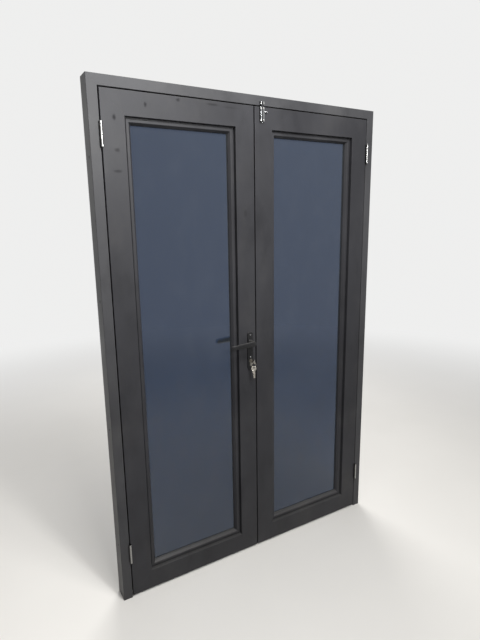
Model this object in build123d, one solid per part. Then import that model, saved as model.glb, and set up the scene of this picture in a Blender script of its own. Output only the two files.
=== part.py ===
from build123d import *
import math
import os

# Glass entrance door: two hung leaves in a three-sided aluminium frame.
# Millimetres. X runs across the door, Y through it, Z up.
# The origin is on the floor, midway between the jambs, at the leaves' mid-thickness.
# The room side, with the key in the lock, faces -Y. The leaves open towards it.

# Overall sizes
LEAF_WIDTH = 622.0
LEAF_HEIGHT = 2000.0
LEAF_THICKNESS = 45.0
FLOOR_GAP = 8.0
HEAD_GAP = 4.0
HINGE_GAP = 4.0
MEETING_GAP = 5.0
FRAME_FACE = 38.0
FRAME_DEPTH = 70.0

# Extruded leaf profile
RAIL_FACE = 86.0
PROFILE_WALL = 1.8
PROFILE_ARRIS = 1.6
LIP_REACH = 22.0
LIP_THICKNESS = 3.0
CHANNEL_WIDTH = 20.4
CHANNEL_DEPTH = 3.0
CATCH_REACH = 4.0
CATCH_THICKNESS = 1.5
CATCH_CLEARANCE = 0.15

# Frame profile
STOP_REACH = 12.0
STOP_GAP = 4.5
STRIP_GROOVE_WIDTH = 4.0
STRIP_FROM_JAMB_FACE = 8.0
STRIP_GROOVE_DEPTH = 2.5
STRIP_BULB_WIDTH = 6.0
STRIP_FIT = 0.1
STRIP_TOUCH = 0.3
STRIP_BULB_ROUNDING = 1.7
STRIP_BULB_HOLE_RADIUS = 0.9
STRIP_BULB_HOLE_DEPTH = 1.9
STRIP_ROOT_OVERLAP = 1.0

# Corner cleats
CLEAT_LEG = 62.0
CLEAT_THICKNESS = 16.0
CLEAT_FIT = 0.1

# Glass, beads and gaskets
GLASS_THICKNESS = 8.0
GLASS_SETBACK = 30.0
GLASS_EDGE_COVER = 14.5
BEAD_WIDTH = 24.5
BEAD_SHADOW_GAP = 5.0
BEAD_SETBACK = 13.0
BEAD_FOOT_DEPTH = 10.0
BEAD_NOSE_WIDTH = 12.0
BEAD_NOSE_RADIUS = 2.4
BEAD_WALL = 1.5
INNER_GASKET_THICKNESS = 3.0
GASKET_WIDTH = 9.0
GASKET_SHOW = 1.2
SETTING_BLOCK_LENGTH = 100.0
SETTING_BLOCK_INSET = 120.0

# Fixing holes through the jambs
FIXING_FIRST = 250.0
FIXING_BELOW_LEAF_TOP = 228.0
FIXING_COUNT = 4
FIXING_HOLE_RADIUS = 4.25
FIXING_ACCESS_RADIUS = 7.0
FIXING_FROM_FRONT = 25.0

# Butt hinges
HINGE_LENGTH = 83.0
HINGE_BARREL_RADIUS = 5.5
HINGE_STAND_OFF = 6.5
HINGE_WING_THICKNESS = 1.85
HINGE_WING_WIDTH = 30.0
HINGE_KNUCKLES = 5
HINGE_KNUCKLE_GAP = 0.2
HINGE_PIN_RADIUS = 3.0
HINGE_PIN_FIT = 0.05
HINGE_CAP_HEIGHT = 2.0
HINGE_CAP_ROUNDING = 1.6
HINGE_CAP_INSET = 0.2
HINGE_FROM_TOP = 153.0
HINGE_FROM_BOTTOM = 203.0
HINGE_SCREW_PITCH = 30.0
HINGE_SCREW_FROM_FACE = 6.6
HINGE_SCREW_HEAD_RADIUS = 3.3
HINGE_SCREW_RADIUS = 1.9
HINGE_SCREW_LENGTH = 14.0

# Lock
BACKSET = 30.0
SPINDLE_HEIGHT = 1030.5
CYLINDER_DROP = 85.0
LOCK_CASE_THICKNESS = 16.0
LOCK_CASE_DEPTH = 43.0
LOCK_CASE_WALL = 1.5
LOCK_CASE_ABOVE_SPINDLE = 48.0
LOCK_CASE_BELOW_CYLINDER = 34.0
FACEPLATE_MARGIN = 20.0
FACEPLATE_FIT = 0.2
FACEPLATE_SCREW_INSET = 8.0
HOLE_CLEARANCE = 0.4
HUB_RADIUS = 11.0
HUB_BOSS_RADIUS = 8.0
HUB_FIT = 0.08
SPINDLE_SIDE = 8.0
SPINDLE_FIT = 0.05
HUB_ARM_LENGTH = 16.33
HUB_ARM_HALF_WIDTH = 2.5
LATCH_SWING_DEG = 45.0
LATCH_PROJECTION = 12.0
LATCH_HEIGHT = 24.0
LATCH_THICKNESS = 10.0
LATCH_ABOVE_SPINDLE = 30.0
LATCH_HEAD_INSIDE = 14.0
LATCH_NOSE_FLAT = 2.0
LATCH_BEVEL_START = 1.0
LATCH_TAIL_DEPTH = 6.0
LATCH_HOOK_THICKNESS = 4.0
LATCH_HOOK_DROP = 8.0
LATCH_LOST_MOTION = 1.5
LATCH_JOIN = 1.0
BOLT_THICKNESS = 9.6
BOLT_HEIGHT = 20.0
BOLT_ABOVE_CYLINDER = 7.5
BOLT_LENGTH = 44.0
BOLT_INSET = 0.5

# Key cylinder and keys
CYLINDER_HALF_LENGTH = 30.0
CYLINDER_HEAD_RADIUS = 8.5
CYLINDER_WEB_WIDTH = 10.0
CYLINDER_WEB_DROP = 24.5
CYLINDER_HOLE_CLEARANCE = 0.4
PLUG_RADIUS = 6.5
PLUG_FIT = 0.05
CAM_THICKNESS = 9.2
CAM_GAP = 0.4
CAM_HUB_RADIUS = 6.8
CAM_TIP_RADIUS = 3.0
CAM_TIP_CENTRE = 10.0
CAM_REST_DEG = 45.0
CAM_NOTCH_CLEARANCE = 2.5
CAM_BRIDGE_DROP = 16.0
CYLINDER_SCREW_DROP = 20.3
CYLINDER_SCREW_RADIUS = 2.45
CYLINDER_SCREW_INSET = 1.0
KEY_THICKNESS = 2.2
KEYWAY_FIT = 0.1
KEY_BLADE_HEIGHT = 8.6
KEY_BLADE_LENGTH = 24.5
KEY_BLADE_OFFSET = 1.0
KEY_BOW_RADIUS = 11.5
KEY_HOLE_RADIUS = 4.0
KEY_HOLE_OFFSET = 4.0
KEY_SHOULDER = 20.0
KEY_NECK_WIDTH = 12.0
KEY_CUT_DEPTHS = (1.6, 2.6, 1.2, 2.2, 1.8)
KEY_CUT_FLOOR = 1.0
KEY_CUT_START = 0.8
KEY_TIP_LENGTH = 3.0
RING_RADIUS = 11.0
RING_WIRE_RADIUS = 1.0
RING_SLACK = 0.8
SPARE_KEY_TURN_DEG = 50.0
SPARE_KEY_DROP = 2.0

# Lever handles and their plates
PLATE_WIDTH = 28.0
PLATE_THICKNESS = 5.0
PLATE_ABOVE_SPINDLE = 45.0
PLATE_BELOW_CYLINDER = 41.0
PLATE_CORNER_RADIUS = 9.0
PLATE_EDGE_RADIUS = 1.6
PLATE_SCREW_ABOVE = 32.5
PLATE_SCREW_BELOW = 68.5
LEVER_NECK_RADIUS = 8.5
LEVER_NECK_FIT = 0.2
LEVER_STAND_OFF = 52.0
LEVER_THICKNESS = 9.0
LEVER_HEIGHT = 22.0
LEVER_TIP_HEIGHT = 16.0
LEVER_LENGTH = 115.0
LEVER_HEEL = 9.0
LEVER_EDGE_RADIUS = 2.8
LEVER_SOCKET_DEPTH = 24.0
LEVER_SOCKET_PLAY = 1.0
LEVER_RETURN = 5.0
LEVER_CORNER_RADIUS = 2.7
LEVER_RETURN_RUN = 18.0

# Slide bolt at the head of the right leaf
SLIDE_FROM_MEETING_LINE = 35.0
SLIDE_WIDTH = 18.0
SLIDE_DEPTH = 10.0
SLIDE_LENGTH = 56.0
SLIDE_BELOW_LEAF_TOP = 2.0
SLIDE_EDGE_RADIUS = 1.5
SLIDE_ROD_RADIUS = 3.9
SLIDE_ROD_FIT = 0.08
SLIDE_ROD_CHAMFER = 1.0
SLIDE_SLOT_WIDTH = 6.8
SLIDE_TRAVEL = 20.0
SLIDE_ENGAGEMENT = 12.0
KEEPER_LENGTH = 13.0
KEEPER_ABOVE_LEAF_TOP = 6.0
KNOB_FROM_BASE_TOP = 17.0
KNOB_NECK_RADIUS = 2.2
KNOB_RADIUS = 4.0
KNOB_REACH = 24.0
KNOB_SLOT_CLEARANCE = 0.5
SLIDE_SCREW_INSET = 5.5

# Meeting seal
SEAL_WIDTH = 6.0
SEAL_THICKNESS = 1.6
SEAL_END_INSET = 10.0
SEAL_ROUNDING = 0.8

# Small screws: head radius, head height, shank radius
PAN_HEAD = (3.6, 1.9, 1.9)
SMALL_HEAD = (2.3, 1.2, 1.3)
PLATE_SCREW_LENGTH = 12.0
SMALL_SCREW_LENGTH = 9.0
SCREW_SLOT_WIDTH = 0.9
SCREW_SLOT_DEPTH = 0.9
SCREW_HEAD_ROUNDING = 0.6

# Places worked out from the sizes above
HALF_T = LEAF_THICKNESS / 2
FRONT = -HALF_T
MEETING_EDGE = MEETING_GAP / 2
HINGE_EDGE = MEETING_EDGE + LEAF_WIDTH
JAMB_FACE_X = HINGE_EDGE + HINGE_GAP
HALF_WIDTH = JAMB_FACE_X + FRAME_FACE
LEAF_TOP = FLOOR_GAP + LEAF_HEIGHT
HEAD_UNDERSIDE = LEAF_TOP + HEAD_GAP
DOOR_HEIGHT = HEAD_UNDERSIDE + FRAME_FACE
STOP_FACE = HALF_T + STOP_GAP
FRAME_BACK = FRONT + FRAME_DEPTH
GLASS_FRONT = FRONT + GLASS_SETBACK
GLASS_BACK = GLASS_FRONT + GLASS_THICKNESS
LIP_INNER = HALF_T - LIP_THICKNESS
BEAD_SIGHT = RAIL_FACE + BEAD_WIDTH
GLASS_EDGE = BEAD_SIGHT - GLASS_EDGE_COVER
BEAD_BACK = GLASS_FRONT - INNER_GASKET_THICKNESS
BEAD_FRONT = FRONT + BEAD_SETBACK
BEAD_FOOT_FRONT = BEAD_BACK - BEAD_FOOT_DEPTH
CATCH_Y = BEAD_BACK - BEAD_FOOT_DEPTH / 2
HINGE_AXIS_X = HINGE_EDGE + HINGE_GAP / 2
HINGE_AXIS_Y = FRONT - HINGE_STAND_OFF
HINGE_CENTRES = (FLOOR_GAP + HINGE_FROM_BOTTOM, LEAF_TOP - HINGE_FROM_TOP)
LOCK_X = -MEETING_EDGE - BACKSET
CYLINDER_HEIGHT = SPINDLE_HEIGHT - CYLINDER_DROP
CASE_FRONT_X = -MEETING_EDGE - CHANNEL_DEPTH
CASE_TOP = SPINDLE_HEIGHT + LOCK_CASE_ABOVE_SPINDLE
CASE_BOTTOM = CYLINDER_HEIGHT - LOCK_CASE_BELOW_CYLINDER
CASE_CENTRE = (CASE_TOP + CASE_BOTTOM) / 2
CASE_HEIGHT = CASE_TOP - CASE_BOTTOM
FACEPLATE_LENGTH = CASE_HEIGHT + 2 * FACEPLATE_MARGIN
LATCH_Z = SPINDLE_HEIGHT + LATCH_ABOVE_SPINDLE
LATCH_TRAVEL = 2 * HUB_ARM_LENGTH * math.sin(math.radians(LATCH_SWING_DEG / 2))
BOLT_Z = CYLINDER_HEIGHT + BOLT_ABOVE_CYLINDER + BOLT_HEIGHT / 2
CAM_REACH = CAM_TIP_CENTRE + 2 * CAM_TIP_RADIUS
BOLT_TRAVEL = 2 * CAM_TIP_CENTRE * math.sin(math.radians(CAM_REST_DEG))
PLATE_FACE = HALF_T + PLATE_THICKNESS
PLATE_TOP = SPINDLE_HEIGHT + PLATE_ABOVE_SPINDLE
PLATE_BOTTOM = CYLINDER_HEIGHT - PLATE_BELOW_CYLINDER
PLATE_CENTRE = (PLATE_TOP + PLATE_BOTTOM) / 2
PLATE_SCREW_HEIGHTS = (SPINDLE_HEIGHT + PLATE_SCREW_ABOVE, SPINDLE_HEIGHT - PLATE_SCREW_BELOW)
KEY_HOLE_Y = -CYLINDER_HALF_LENGTH - KEY_SHOULDER - KEY_HOLE_OFFSET
RING_TOP_Z = CYLINDER_HEIGHT - KEY_HOLE_RADIUS + RING_WIRE_RADIUS + RING_SLACK
RING_CENTRE_Z = RING_TOP_Z - RING_RADIUS
SPARE_HOLE_Z = RING_CENTRE_Z - RING_RADIUS - SPARE_KEY_DROP
SLIDE_X = SLIDE_FROM_MEETING_LINE
SLIDE_TOP = LEAF_TOP - SLIDE_BELOW_LEAF_TOP
SLIDE_BOTTOM = SLIDE_TOP - SLIDE_LENGTH
SLIDE_AXIS_Y = FRONT - SLIDE_DEPTH / 2
KEEPER_BOTTOM = LEAF_TOP + KEEPER_ABOVE_LEAF_TOP
KEEPER_TOP = KEEPER_BOTTOM + KEEPER_LENGTH
KNOB_Z = SLIDE_TOP - KNOB_FROM_BASE_TOP
ROD_TOP = KEEPER_BOTTOM + SLIDE_ENGAGEMENT
FIXING_PITCH = (LEAF_TOP - FIXING_BELOW_LEAF_TOP - FIXING_FIRST) / (FIXING_COUNT - 1)
FIXING_HEIGHTS = [FIXING_FIRST + FIXING_PITCH * i for i in range(FIXING_COUNT)]
FIXING_Y = FRONT + FIXING_FROM_FRONT
SLIDE_SCREW_X = SLIDE_WIDTH / 2 - (SLIDE_WIDTH / 2 - SLIDE_ROD_RADIUS) / 2

# Cutting solids reach past what they cut by this much, and mitres past the widest profile
OVERCUT = 1.0
ROOM_FOR_CUTS = 200.0
MITRE_MARGIN = 30.0
SIGHT_REACH = BEAD_SIGHT + MITRE_MARGIN

PARTS = {}


def keep(name, *solids):
    """Register the solids of one node."""
    PARTS[name] = [piece for solid in solids for piece in solid.solids()]


# Basic shapes


def block(x0, x1, y0, y1, z0, z1):
    """Box between two corners."""
    size = Box(x1 - x0, y1 - y0, z1 - z0)
    return Pos((x0 + x1) / 2, (y0 + y1) / 2, (z0 + z1) / 2) * size


def rod_x(x0, x1, y, z, radius):
    """Round bar along X."""
    bar = Cylinder(radius, abs(x1 - x0))
    return Pos((x0 + x1) / 2, y, z) * Rot(0, 90, 0) * bar


def rod_y(y0, y1, x, z, radius):
    """Round bar along Y."""
    bar = Cylinder(radius, abs(y1 - y0))
    return Pos(x, (y0 + y1) / 2, z) * Rot(90, 0, 0) * bar


def rod_z(z0, z1, x, y, radius):
    """Round bar along Z."""
    return Pos(x, y, (z0 + z1) / 2) * Cylinder(radius, z1 - z0)


def xz_prism(sketch, y0, y1):
    """Sketch drawn in X and Z, made solid from y0 to y1."""
    solid = extrude(Plane.XZ * sketch, amount=abs(y1 - y0))
    return Pos(0, max(y0, y1), 0) * solid


def flip_x(shape):
    """Mirror image across the door's centre line."""
    return mirror(shape, about=Plane.YZ)


def flip_y(shape):
    """Mirror image from the room side to the outside."""
    return mirror(shape, about=Plane.XZ)


def pan_screw(sizes, length):
    """Screw along +Y with its slotted head at the origin, on the -Y side."""
    head_radius, head_height, shank_radius = sizes
    head = rod_y(-head_height, 0, 0, 0, head_radius)
    rim = head.edges().group_by(Axis.Y)[0]
    head = fillet(rim, head_height * SCREW_HEAD_ROUNDING)
    slot = block(-head_radius, head_radius, -head_height - OVERCUT, -head_height + SCREW_SLOT_DEPTH,
                 -SCREW_SLOT_WIDTH / 2, SCREW_SLOT_WIDTH / 2)
    return head - slot + rod_y(0, length, 0, 0, shank_radius)


# Bars cut with mitres


def bar(section, length, mitre_start=True, mitre_end=True):
    """Profile run along +Z from 0, X being the distance in from the outer edge."""
    start = SIGHT_REACH if mitre_start else 0
    end = SIGHT_REACH if mitre_end else 0
    outline = Polygon((0, 0), (SIGHT_REACH, start), (SIGHT_REACH, length - end), (0, length), align=None)
    mitres = xz_prism(outline, -ROOM_FOR_CUTS, ROOM_FOR_CUTS)
    return extrude(section, amount=length) & mitres


def four_bars(section, x0, x1, z0, z1):
    """Left, right, top and bottom bars of one mitred rectangle."""
    left = Pos(x0, 0, z0) * bar(section, z1 - z0)
    right = mirror(left, about=Plane.YZ.offset((x0 + x1) / 2))
    top = Pos(x0, 0, z1) * Rot(0, 90, 0) * bar(section, x1 - x0)
    bottom = mirror(top, about=Plane.XY.offset((z0 + z1) / 2))
    return left, right, top, bottom


def leaf_section():
    """Hollow stile and rail profile, with the outside glazing lip and the bead catch."""
    body = Pos(RAIL_FACE / 2, 0) * RectangleRounded(RAIL_FACE, LEAF_THICKNESS, PROFILE_ARRIS)
    lip_root = RAIL_FACE - 2 * PROFILE_ARRIS
    lip = Pos((lip_root + RAIL_FACE + LIP_REACH) / 2, HALF_T - LIP_THICKNESS / 2) * Rectangle(
        RAIL_FACE + LIP_REACH - lip_root, LIP_THICKNESS)
    catch = Pos(RAIL_FACE + CATCH_REACH / 2 - PROFILE_WALL / 2, CATCH_Y) * Rectangle(
        CATCH_REACH + PROFILE_WALL, CATCH_THICKNESS)
    channel = Pos(CHANNEL_DEPTH / 2, 0) * Rectangle(CHANNEL_DEPTH, CHANNEL_WIDTH)
    chamber = Pos(RAIL_FACE / 2, 0) * Rectangle(
        RAIL_FACE - 2 * PROFILE_WALL, LEAF_THICKNESS - 2 * PROFILE_WALL)
    wall_depth = CHANNEL_DEPTH + PROFILE_WALL
    channel_wall = Pos(wall_depth / 2, 0) * Rectangle(wall_depth, CHANNEL_WIDTH + 2 * PROFILE_WALL)
    return body + lip + catch - (chamber - channel_wall) - channel


def bead_section():
    """Snap-in glazing bead: foot against the rail, shadow gap, rounded nose, slope to the glass."""
    root = RAIL_FACE + CATCH_CLEARANCE
    nose_start = RAIL_FACE + BEAD_SHADOW_GAP
    nose_end = nose_start + BEAD_NOSE_WIDTH
    outline = Polygon(
        (root, BEAD_BACK), (root, BEAD_FOOT_FRONT), (nose_start, BEAD_FOOT_FRONT), (nose_start, BEAD_FRONT),
        (nose_end, BEAD_FRONT), (BEAD_SIGHT, BEAD_BACK - 2 * BEAD_WALL), (BEAD_SIGHT, BEAD_BACK),
        align=None)
    nose = [v for v in outline.vertices() if abs(v.Y - BEAD_FRONT) < 0.01]
    outline = fillet(nose, BEAD_NOSE_RADIUS)
    hollow_start = nose_start + BEAD_WALL
    hollow_front = BEAD_FRONT + BEAD_NOSE_RADIUS
    hollow_back = BEAD_BACK - BEAD_WALL
    hollow = Polygon(
        (hollow_start, hollow_back), (hollow_start, hollow_front), (nose_end - BEAD_WALL, hollow_front),
        (BEAD_SIGHT - 2 * BEAD_WALL, hollow_back), align=None)
    slot_depth = CATCH_REACH + 2 * CATCH_CLEARANCE
    catch_slot = Pos(RAIL_FACE + slot_depth / 2, CATCH_Y) * Rectangle(
        slot_depth, CATCH_THICKNESS + 2 * CATCH_CLEARANCE)
    return outline - hollow - catch_slot


def gasket_section(y0, y1, show):
    """Rubber strip between the glass and its bead or lip."""
    end = BEAD_SIGHT + show
    return Pos(end - GASKET_WIDTH / 2, (y0 + y1) / 2) * Rectangle(GASKET_WIDTH, y1 - y0)


def frame_section():
    """Hollow frame profile with the leaf stop and its seal groove."""
    mid_y = (FRONT + FRAME_BACK) / 2
    body = Pos(FRAME_FACE / 2, mid_y) * RectangleRounded(FRAME_FACE, FRAME_DEPTH, PROFILE_ARRIS)
    stop_root = FRAME_FACE - 2 * PROFILE_ARRIS
    stop_depth = FRAME_BACK - STOP_FACE
    stop = Pos((stop_root + FRAME_FACE + STOP_REACH) / 2, STOP_FACE + stop_depth / 2) * Rectangle(
        FRAME_FACE + STOP_REACH - stop_root, stop_depth)
    groove = Pos(FRAME_FACE + STRIP_FROM_JAMB_FACE, STOP_FACE + STRIP_GROOVE_DEPTH / 2) * Rectangle(
        STRIP_GROOVE_WIDTH, STRIP_GROOVE_DEPTH)
    chamber = Pos(FRAME_FACE / 2, mid_y) * Rectangle(
        FRAME_FACE - 2 * PROFILE_WALL, FRAME_DEPTH - 2 * PROFILE_WALL)
    hollow_start = STOP_FACE + STRIP_GROOVE_DEPTH + PROFILE_WALL
    hollow_end = FRAME_BACK - PROFILE_WALL
    hollow_x = FRAME_FACE + STOP_REACH / 2 - PROFILE_WALL
    stop_hollow = Pos(hollow_x, (hollow_start + hollow_end) / 2) * Rectangle(
        STOP_REACH, hollow_end - hollow_start)
    return body + stop - groove - chamber - stop_hollow


def weatherstrip_section():
    """Tongue in the stop's groove with a hollow bulb that reaches the closed leaf."""
    x = FRAME_FACE + STRIP_FROM_JAMB_FACE
    tongue_end = STOP_FACE + STRIP_GROOVE_DEPTH - STRIP_FIT
    root = STOP_FACE - STRIP_ROOT_OVERLAP
    tongue = Pos(x, (root + tongue_end) / 2) * Rectangle(
        STRIP_GROOVE_WIDTH - 2 * STRIP_FIT, tongue_end - root)
    bulb_front = HALF_T + STRIP_TOUCH
    bulb_depth = STOP_FACE - bulb_front
    bulb = Pos(x, bulb_front + bulb_depth / 2) * RectangleRounded(
        STRIP_BULB_WIDTH, bulb_depth, STRIP_BULB_ROUNDING)
    hole = Pos(x, bulb_front + STRIP_BULB_HOLE_DEPTH) * Circle(STRIP_BULB_HOLE_RADIUS)
    return bulb + tongue - hole


def corner_cleat(corner_x, corner_z, side_x, side_z, y0, y1, inset):
    """L-shaped cast cleat inside a mitred corner; side_x and side_z point into the rectangle."""
    start = inset + PROFILE_WALL + CLEAT_FIT
    leg = start + CLEAT_LEG
    thick = start + CLEAT_THICKNESS
    outline = Polygon((start, start), (leg, start), (leg, thick), (thick, thick), (thick, leg),
                      (start, leg), align=None)
    solid = xz_prism(outline, y0, y1)
    if side_x < 0:
        solid = mirror(solid, about=Plane.YZ)
    if side_z < 0:
        solid = mirror(solid, about=Plane.XY)
    return Pos(corner_x, 0, corner_z) * solid


# Hinges


def knuckle_spans(centre):
    """Lower and upper end of each knuckle, the jamb's first."""
    pitch = (HINGE_LENGTH + HINGE_KNUCKLE_GAP) / HINGE_KNUCKLES
    bottom = centre - HINGE_LENGTH / 2
    return [(bottom + i * pitch, bottom + (i + 1) * pitch - HINGE_KNUCKLE_GAP)
            for i in range(HINGE_KNUCKLES)]


def hinge_screw_heights(centre):
    """Heights of the three screws in one wing."""
    return [centre + HINGE_SCREW_PITCH * i for i in (-1, 0, 1)]


def hinge_half(centre, inward, own):
    """One half of a butt hinge on the right side; inward is -1 on the leaf and +1 on the jamb."""
    outer = HINGE_AXIS_X + inward * HINGE_GAP / 2
    inner = outer - inward * HINGE_WING_THICKNESS
    x0, x1 = min(outer, inner), max(outer, inner)
    z0, z1 = centre - HINGE_LENGTH / 2, centre + HINGE_LENGTH / 2
    plate_front = HINGE_AXIS_Y + HINGE_BARREL_RADIUS + HOLE_CLEARANCE
    half = block(x0, x1, plate_front, FRONT + HINGE_WING_WIDTH, z0, z1)
    for low, high in knuckle_spans(centre)[own::2]:
        half += rod_z(low, high, HINGE_AXIS_X, HINGE_AXIS_Y, HINGE_BARREL_RADIUS)
        half += block(x0, x1, HINGE_AXIS_Y, plate_front, low, high)
    half -= rod_z(z0 - OVERCUT, z1 + OVERCUT, HINGE_AXIS_X, HINGE_AXIS_Y, HINGE_PIN_RADIUS + HINGE_PIN_FIT)
    for z in hinge_screw_heights(centre):
        half -= hinge_screw(z, inward, HINGE_PIN_FIT)
    return half


def hinge_screw(z, inward, grow=0.0):
    """Countersunk screw through a wing into the leaf or the jamb."""
    y = FRONT + HINGE_SCREW_FROM_FACE
    face = HINGE_AXIS_X + inward * (HINGE_GAP / 2 - HINGE_WING_THICKNESS)
    cone = Cone(HINGE_SCREW_RADIUS + grow, HINGE_SCREW_HEAD_RADIUS + grow, HINGE_WING_THICKNESS)
    head = Pos(face + inward * HINGE_WING_THICKNESS / 2, y, z) * Rot(0, -90 * inward, 0) * cone
    return head + rod_x(face + inward * HINGE_WING_THICKNESS, face + inward * HINGE_SCREW_LENGTH, y, z,
                        HINGE_SCREW_RADIUS + grow)


def hinge_pin(centre):
    """Loose pin with a button cap at each end."""
    z0, z1 = centre - HINGE_LENGTH / 2, centre + HINGE_LENGTH / 2
    pin = rod_z(z0, z1, HINGE_AXIS_X, HINGE_AXIS_Y, HINGE_PIN_RADIUS)
    cap_radius = HINGE_BARREL_RADIUS - HINGE_CAP_INSET
    top = rod_z(z1, z1 + HINGE_CAP_HEIGHT, HINGE_AXIS_X, HINGE_AXIS_Y, cap_radius)
    top = fillet(top.edges().group_by(Axis.Z)[-1], HINGE_CAP_ROUNDING)
    bottom = mirror(top, about=Plane.XY.offset(centre))
    return pin + top + bottom


# Shapes of the frame and the leaves


def frame_parts():
    """Head, two jambs, cleats, weatherstrip, and their holes."""
    section = frame_section()
    jamb = Pos(-HALF_WIDTH, 0, 0) * bar(section, DOOR_HEIGHT, mitre_start=False)
    for z in FIXING_HEIGHTS:
        jamb -= rod_x(-HALF_WIDTH - OVERCUT, -JAMB_FACE_X + OVERCUT, FIXING_Y, z, FIXING_HOLE_RADIUS)
        jamb -= rod_x(-HALF_WIDTH + FRAME_FACE / 2, -JAMB_FACE_X + OVERCUT, FIXING_Y, z,
                      FIXING_ACCESS_RADIUS)
    for centre in HINGE_CENTRES:
        for z in hinge_screw_heights(centre):
            jamb -= flip_x(hinge_screw(z, 1, HINGE_PIN_FIT))
    head = Pos(-HALF_WIDTH, 0, DOOR_HEIGHT) * Rot(0, 90, 0) * bar(section, 2 * HALF_WIDTH)
    for side in (-1, 1):
        head -= slide_screw(SLIDE_X + side * SLIDE_SCREW_X, (KEEPER_BOTTOM + KEEPER_TOP) / 2, HINGE_PIN_FIT)
    keep("frame_left_jamb", jamb)
    keep("frame_right_jamb", flip_x(jamb))
    keep("frame_head", head)
    y0, y1 = FRONT + PROFILE_WALL + CLEAT_FIT, FRAME_BACK - PROFILE_WALL - CLEAT_FIT
    cleat = corner_cleat(-HALF_WIDTH, DOOR_HEIGHT, 1, -1, y0, y1, 0)
    keep("frame_corner_cleats", cleat, flip_x(cleat))
    strip = weatherstrip_section()
    side_strip = Pos(-HALF_WIDTH, 0, 0) * bar(strip, DOOR_HEIGHT, mitre_start=False)
    top_strip = Pos(-HALF_WIDTH, 0, DOOR_HEIGHT) * Rot(0, 90, 0) * bar(strip, 2 * HALF_WIDTH)
    keep("frame_weatherstrip", side_strip, top_strip, flip_x(side_strip))


def hinge_parts():
    """Wings, knuckles, pins and screws of the four hinges."""
    jamb_halves = [hinge_half(z, 1, 0) for z in HINGE_CENTRES]
    leaf_halves = [hinge_half(z, -1, 1) for z in HINGE_CENTRES]
    pins = [hinge_pin(z) for z in HINGE_CENTRES]
    heights = [z for centre in HINGE_CENTRES for z in hinge_screw_heights(centre)]
    jamb_screws = [hinge_screw(z, 1) for z in heights]
    leaf_screws = [hinge_screw(z, -1) for z in heights]
    keep("hinge_jamb_halves", *jamb_halves, *[flip_x(s) for s in jamb_halves])
    keep("hinge_pins", *pins, *[flip_x(s) for s in pins])
    keep("right_hinge_leaf_halves", *leaf_halves)
    keep("left_hinge_leaf_halves", *[flip_x(s) for s in leaf_halves])
    keep("right_hinge_screws", *leaf_screws)
    keep("left_hinge_screws", *[flip_x(s) for s in leaf_screws])
    keep("frame_screws", *jamb_screws, *[flip_x(s) for s in jamb_screws], *keeper_screws())


def leaf_parts():
    """Everything that both leaves have: the right one's parts mirror the left one's."""
    x0, x1, z0, z1 = -HINGE_EDGE, -MEETING_EDGE, FLOOR_GAP, LEAF_TOP
    hinge_stile, meeting_stile, top_rail, bottom_rail = four_bars(leaf_section(), x0, x1, z0, z1)
    for centre in HINGE_CENTRES:
        for z in hinge_screw_heights(centre):
            hinge_stile -= flip_x(hinge_screw(z, -1, HINGE_PIN_FIT))
    cleat_y = HALF_T - PROFILE_WALL - CLEAT_FIT
    cleats = [corner_cleat(x, z, sx, sz, -cleat_y, cleat_y, CHANNEL_DEPTH)
              for x, sx in ((x0, 1), (x1, -1)) for z, sz in ((z0, 1), (z1, -1))]
    glass = block(x0 + GLASS_EDGE, x1 - GLASS_EDGE, GLASS_FRONT, GLASS_BACK,
                  z0 + GLASS_EDGE, z1 - GLASS_EDGE)
    beads = four_bars(bead_section(), x0, x1, z0, z1)
    inner_section = gasket_section(BEAD_BACK, GLASS_FRONT, GASKET_SHOW)
    inner = Part() + list(four_bars(inner_section, x0, x1, z0, z1))
    outer_section = gasket_section(GLASS_BACK, LIP_INNER, LIP_REACH - BEAD_WIDTH)
    outer = Part() + list(four_bars(outer_section, x0, x1, z0, z1))
    blocks = [block(x - SETTING_BLOCK_LENGTH / 2, x + SETTING_BLOCK_LENGTH / 2, GLASS_FRONT, GLASS_BACK,
                    z0 + RAIL_FACE, z0 + GLASS_EDGE)
              for x in (x0 + GLASS_EDGE + SETTING_BLOCK_INSET, x1 - GLASS_EDGE - SETTING_BLOCK_INSET)]
    shared = {"hinge_stile": [hinge_stile], "top_rail": [top_rail], "bottom_rail": [bottom_rail],
              "corner_cleats": cleats, "glass": [glass], "glazing_beads": beads,
              "inner_gasket": [inner], "outer_gasket": [outer], "setting_blocks": blocks}
    for name, solids in shared.items():
        right = [flip_x(s) for s in solids]
        if name in ("top_rail", "corner_cleats"):
            right = [s - slide_bolt_cuts() for s in right]
        keep("right_" + name, *right)
        keep("left_" + name, *solids)
    keep("left_meeting_stile", meeting_stile - lock_cuts())
    keep("right_meeting_stile", flip_x(meeting_stile) - strike_cuts() - slide_bolt_cuts())


# Lock


def euro_outline(grow=0.0):
    """Section of the key cylinder in X and Z, about its own axis."""
    web = CYLINDER_WEB_WIDTH / 2 + grow
    head = Circle(CYLINDER_HEAD_RADIUS + grow)
    height = CYLINDER_WEB_DROP - web
    body = Pos(0, -(height + grow) / 2) * Rectangle(2 * web, height + grow)
    foot = Pos(0, -CYLINDER_WEB_DROP + CYLINDER_WEB_WIDTH / 2) * Circle(web)
    return head + body + foot


def euro_prism(y0, y1, grow=0.0):
    """Key cylinder's section made solid from y0 to y1."""
    return Pos(LOCK_X, 0, CYLINDER_HEIGHT) * xz_prism(euro_outline(grow), y0, y1)


def spindle_tube(y0, y1, radius):
    """Round shape on the lever's axis."""
    return rod_y(y0, y1, LOCK_X, SPINDLE_HEIGHT, radius)


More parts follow.
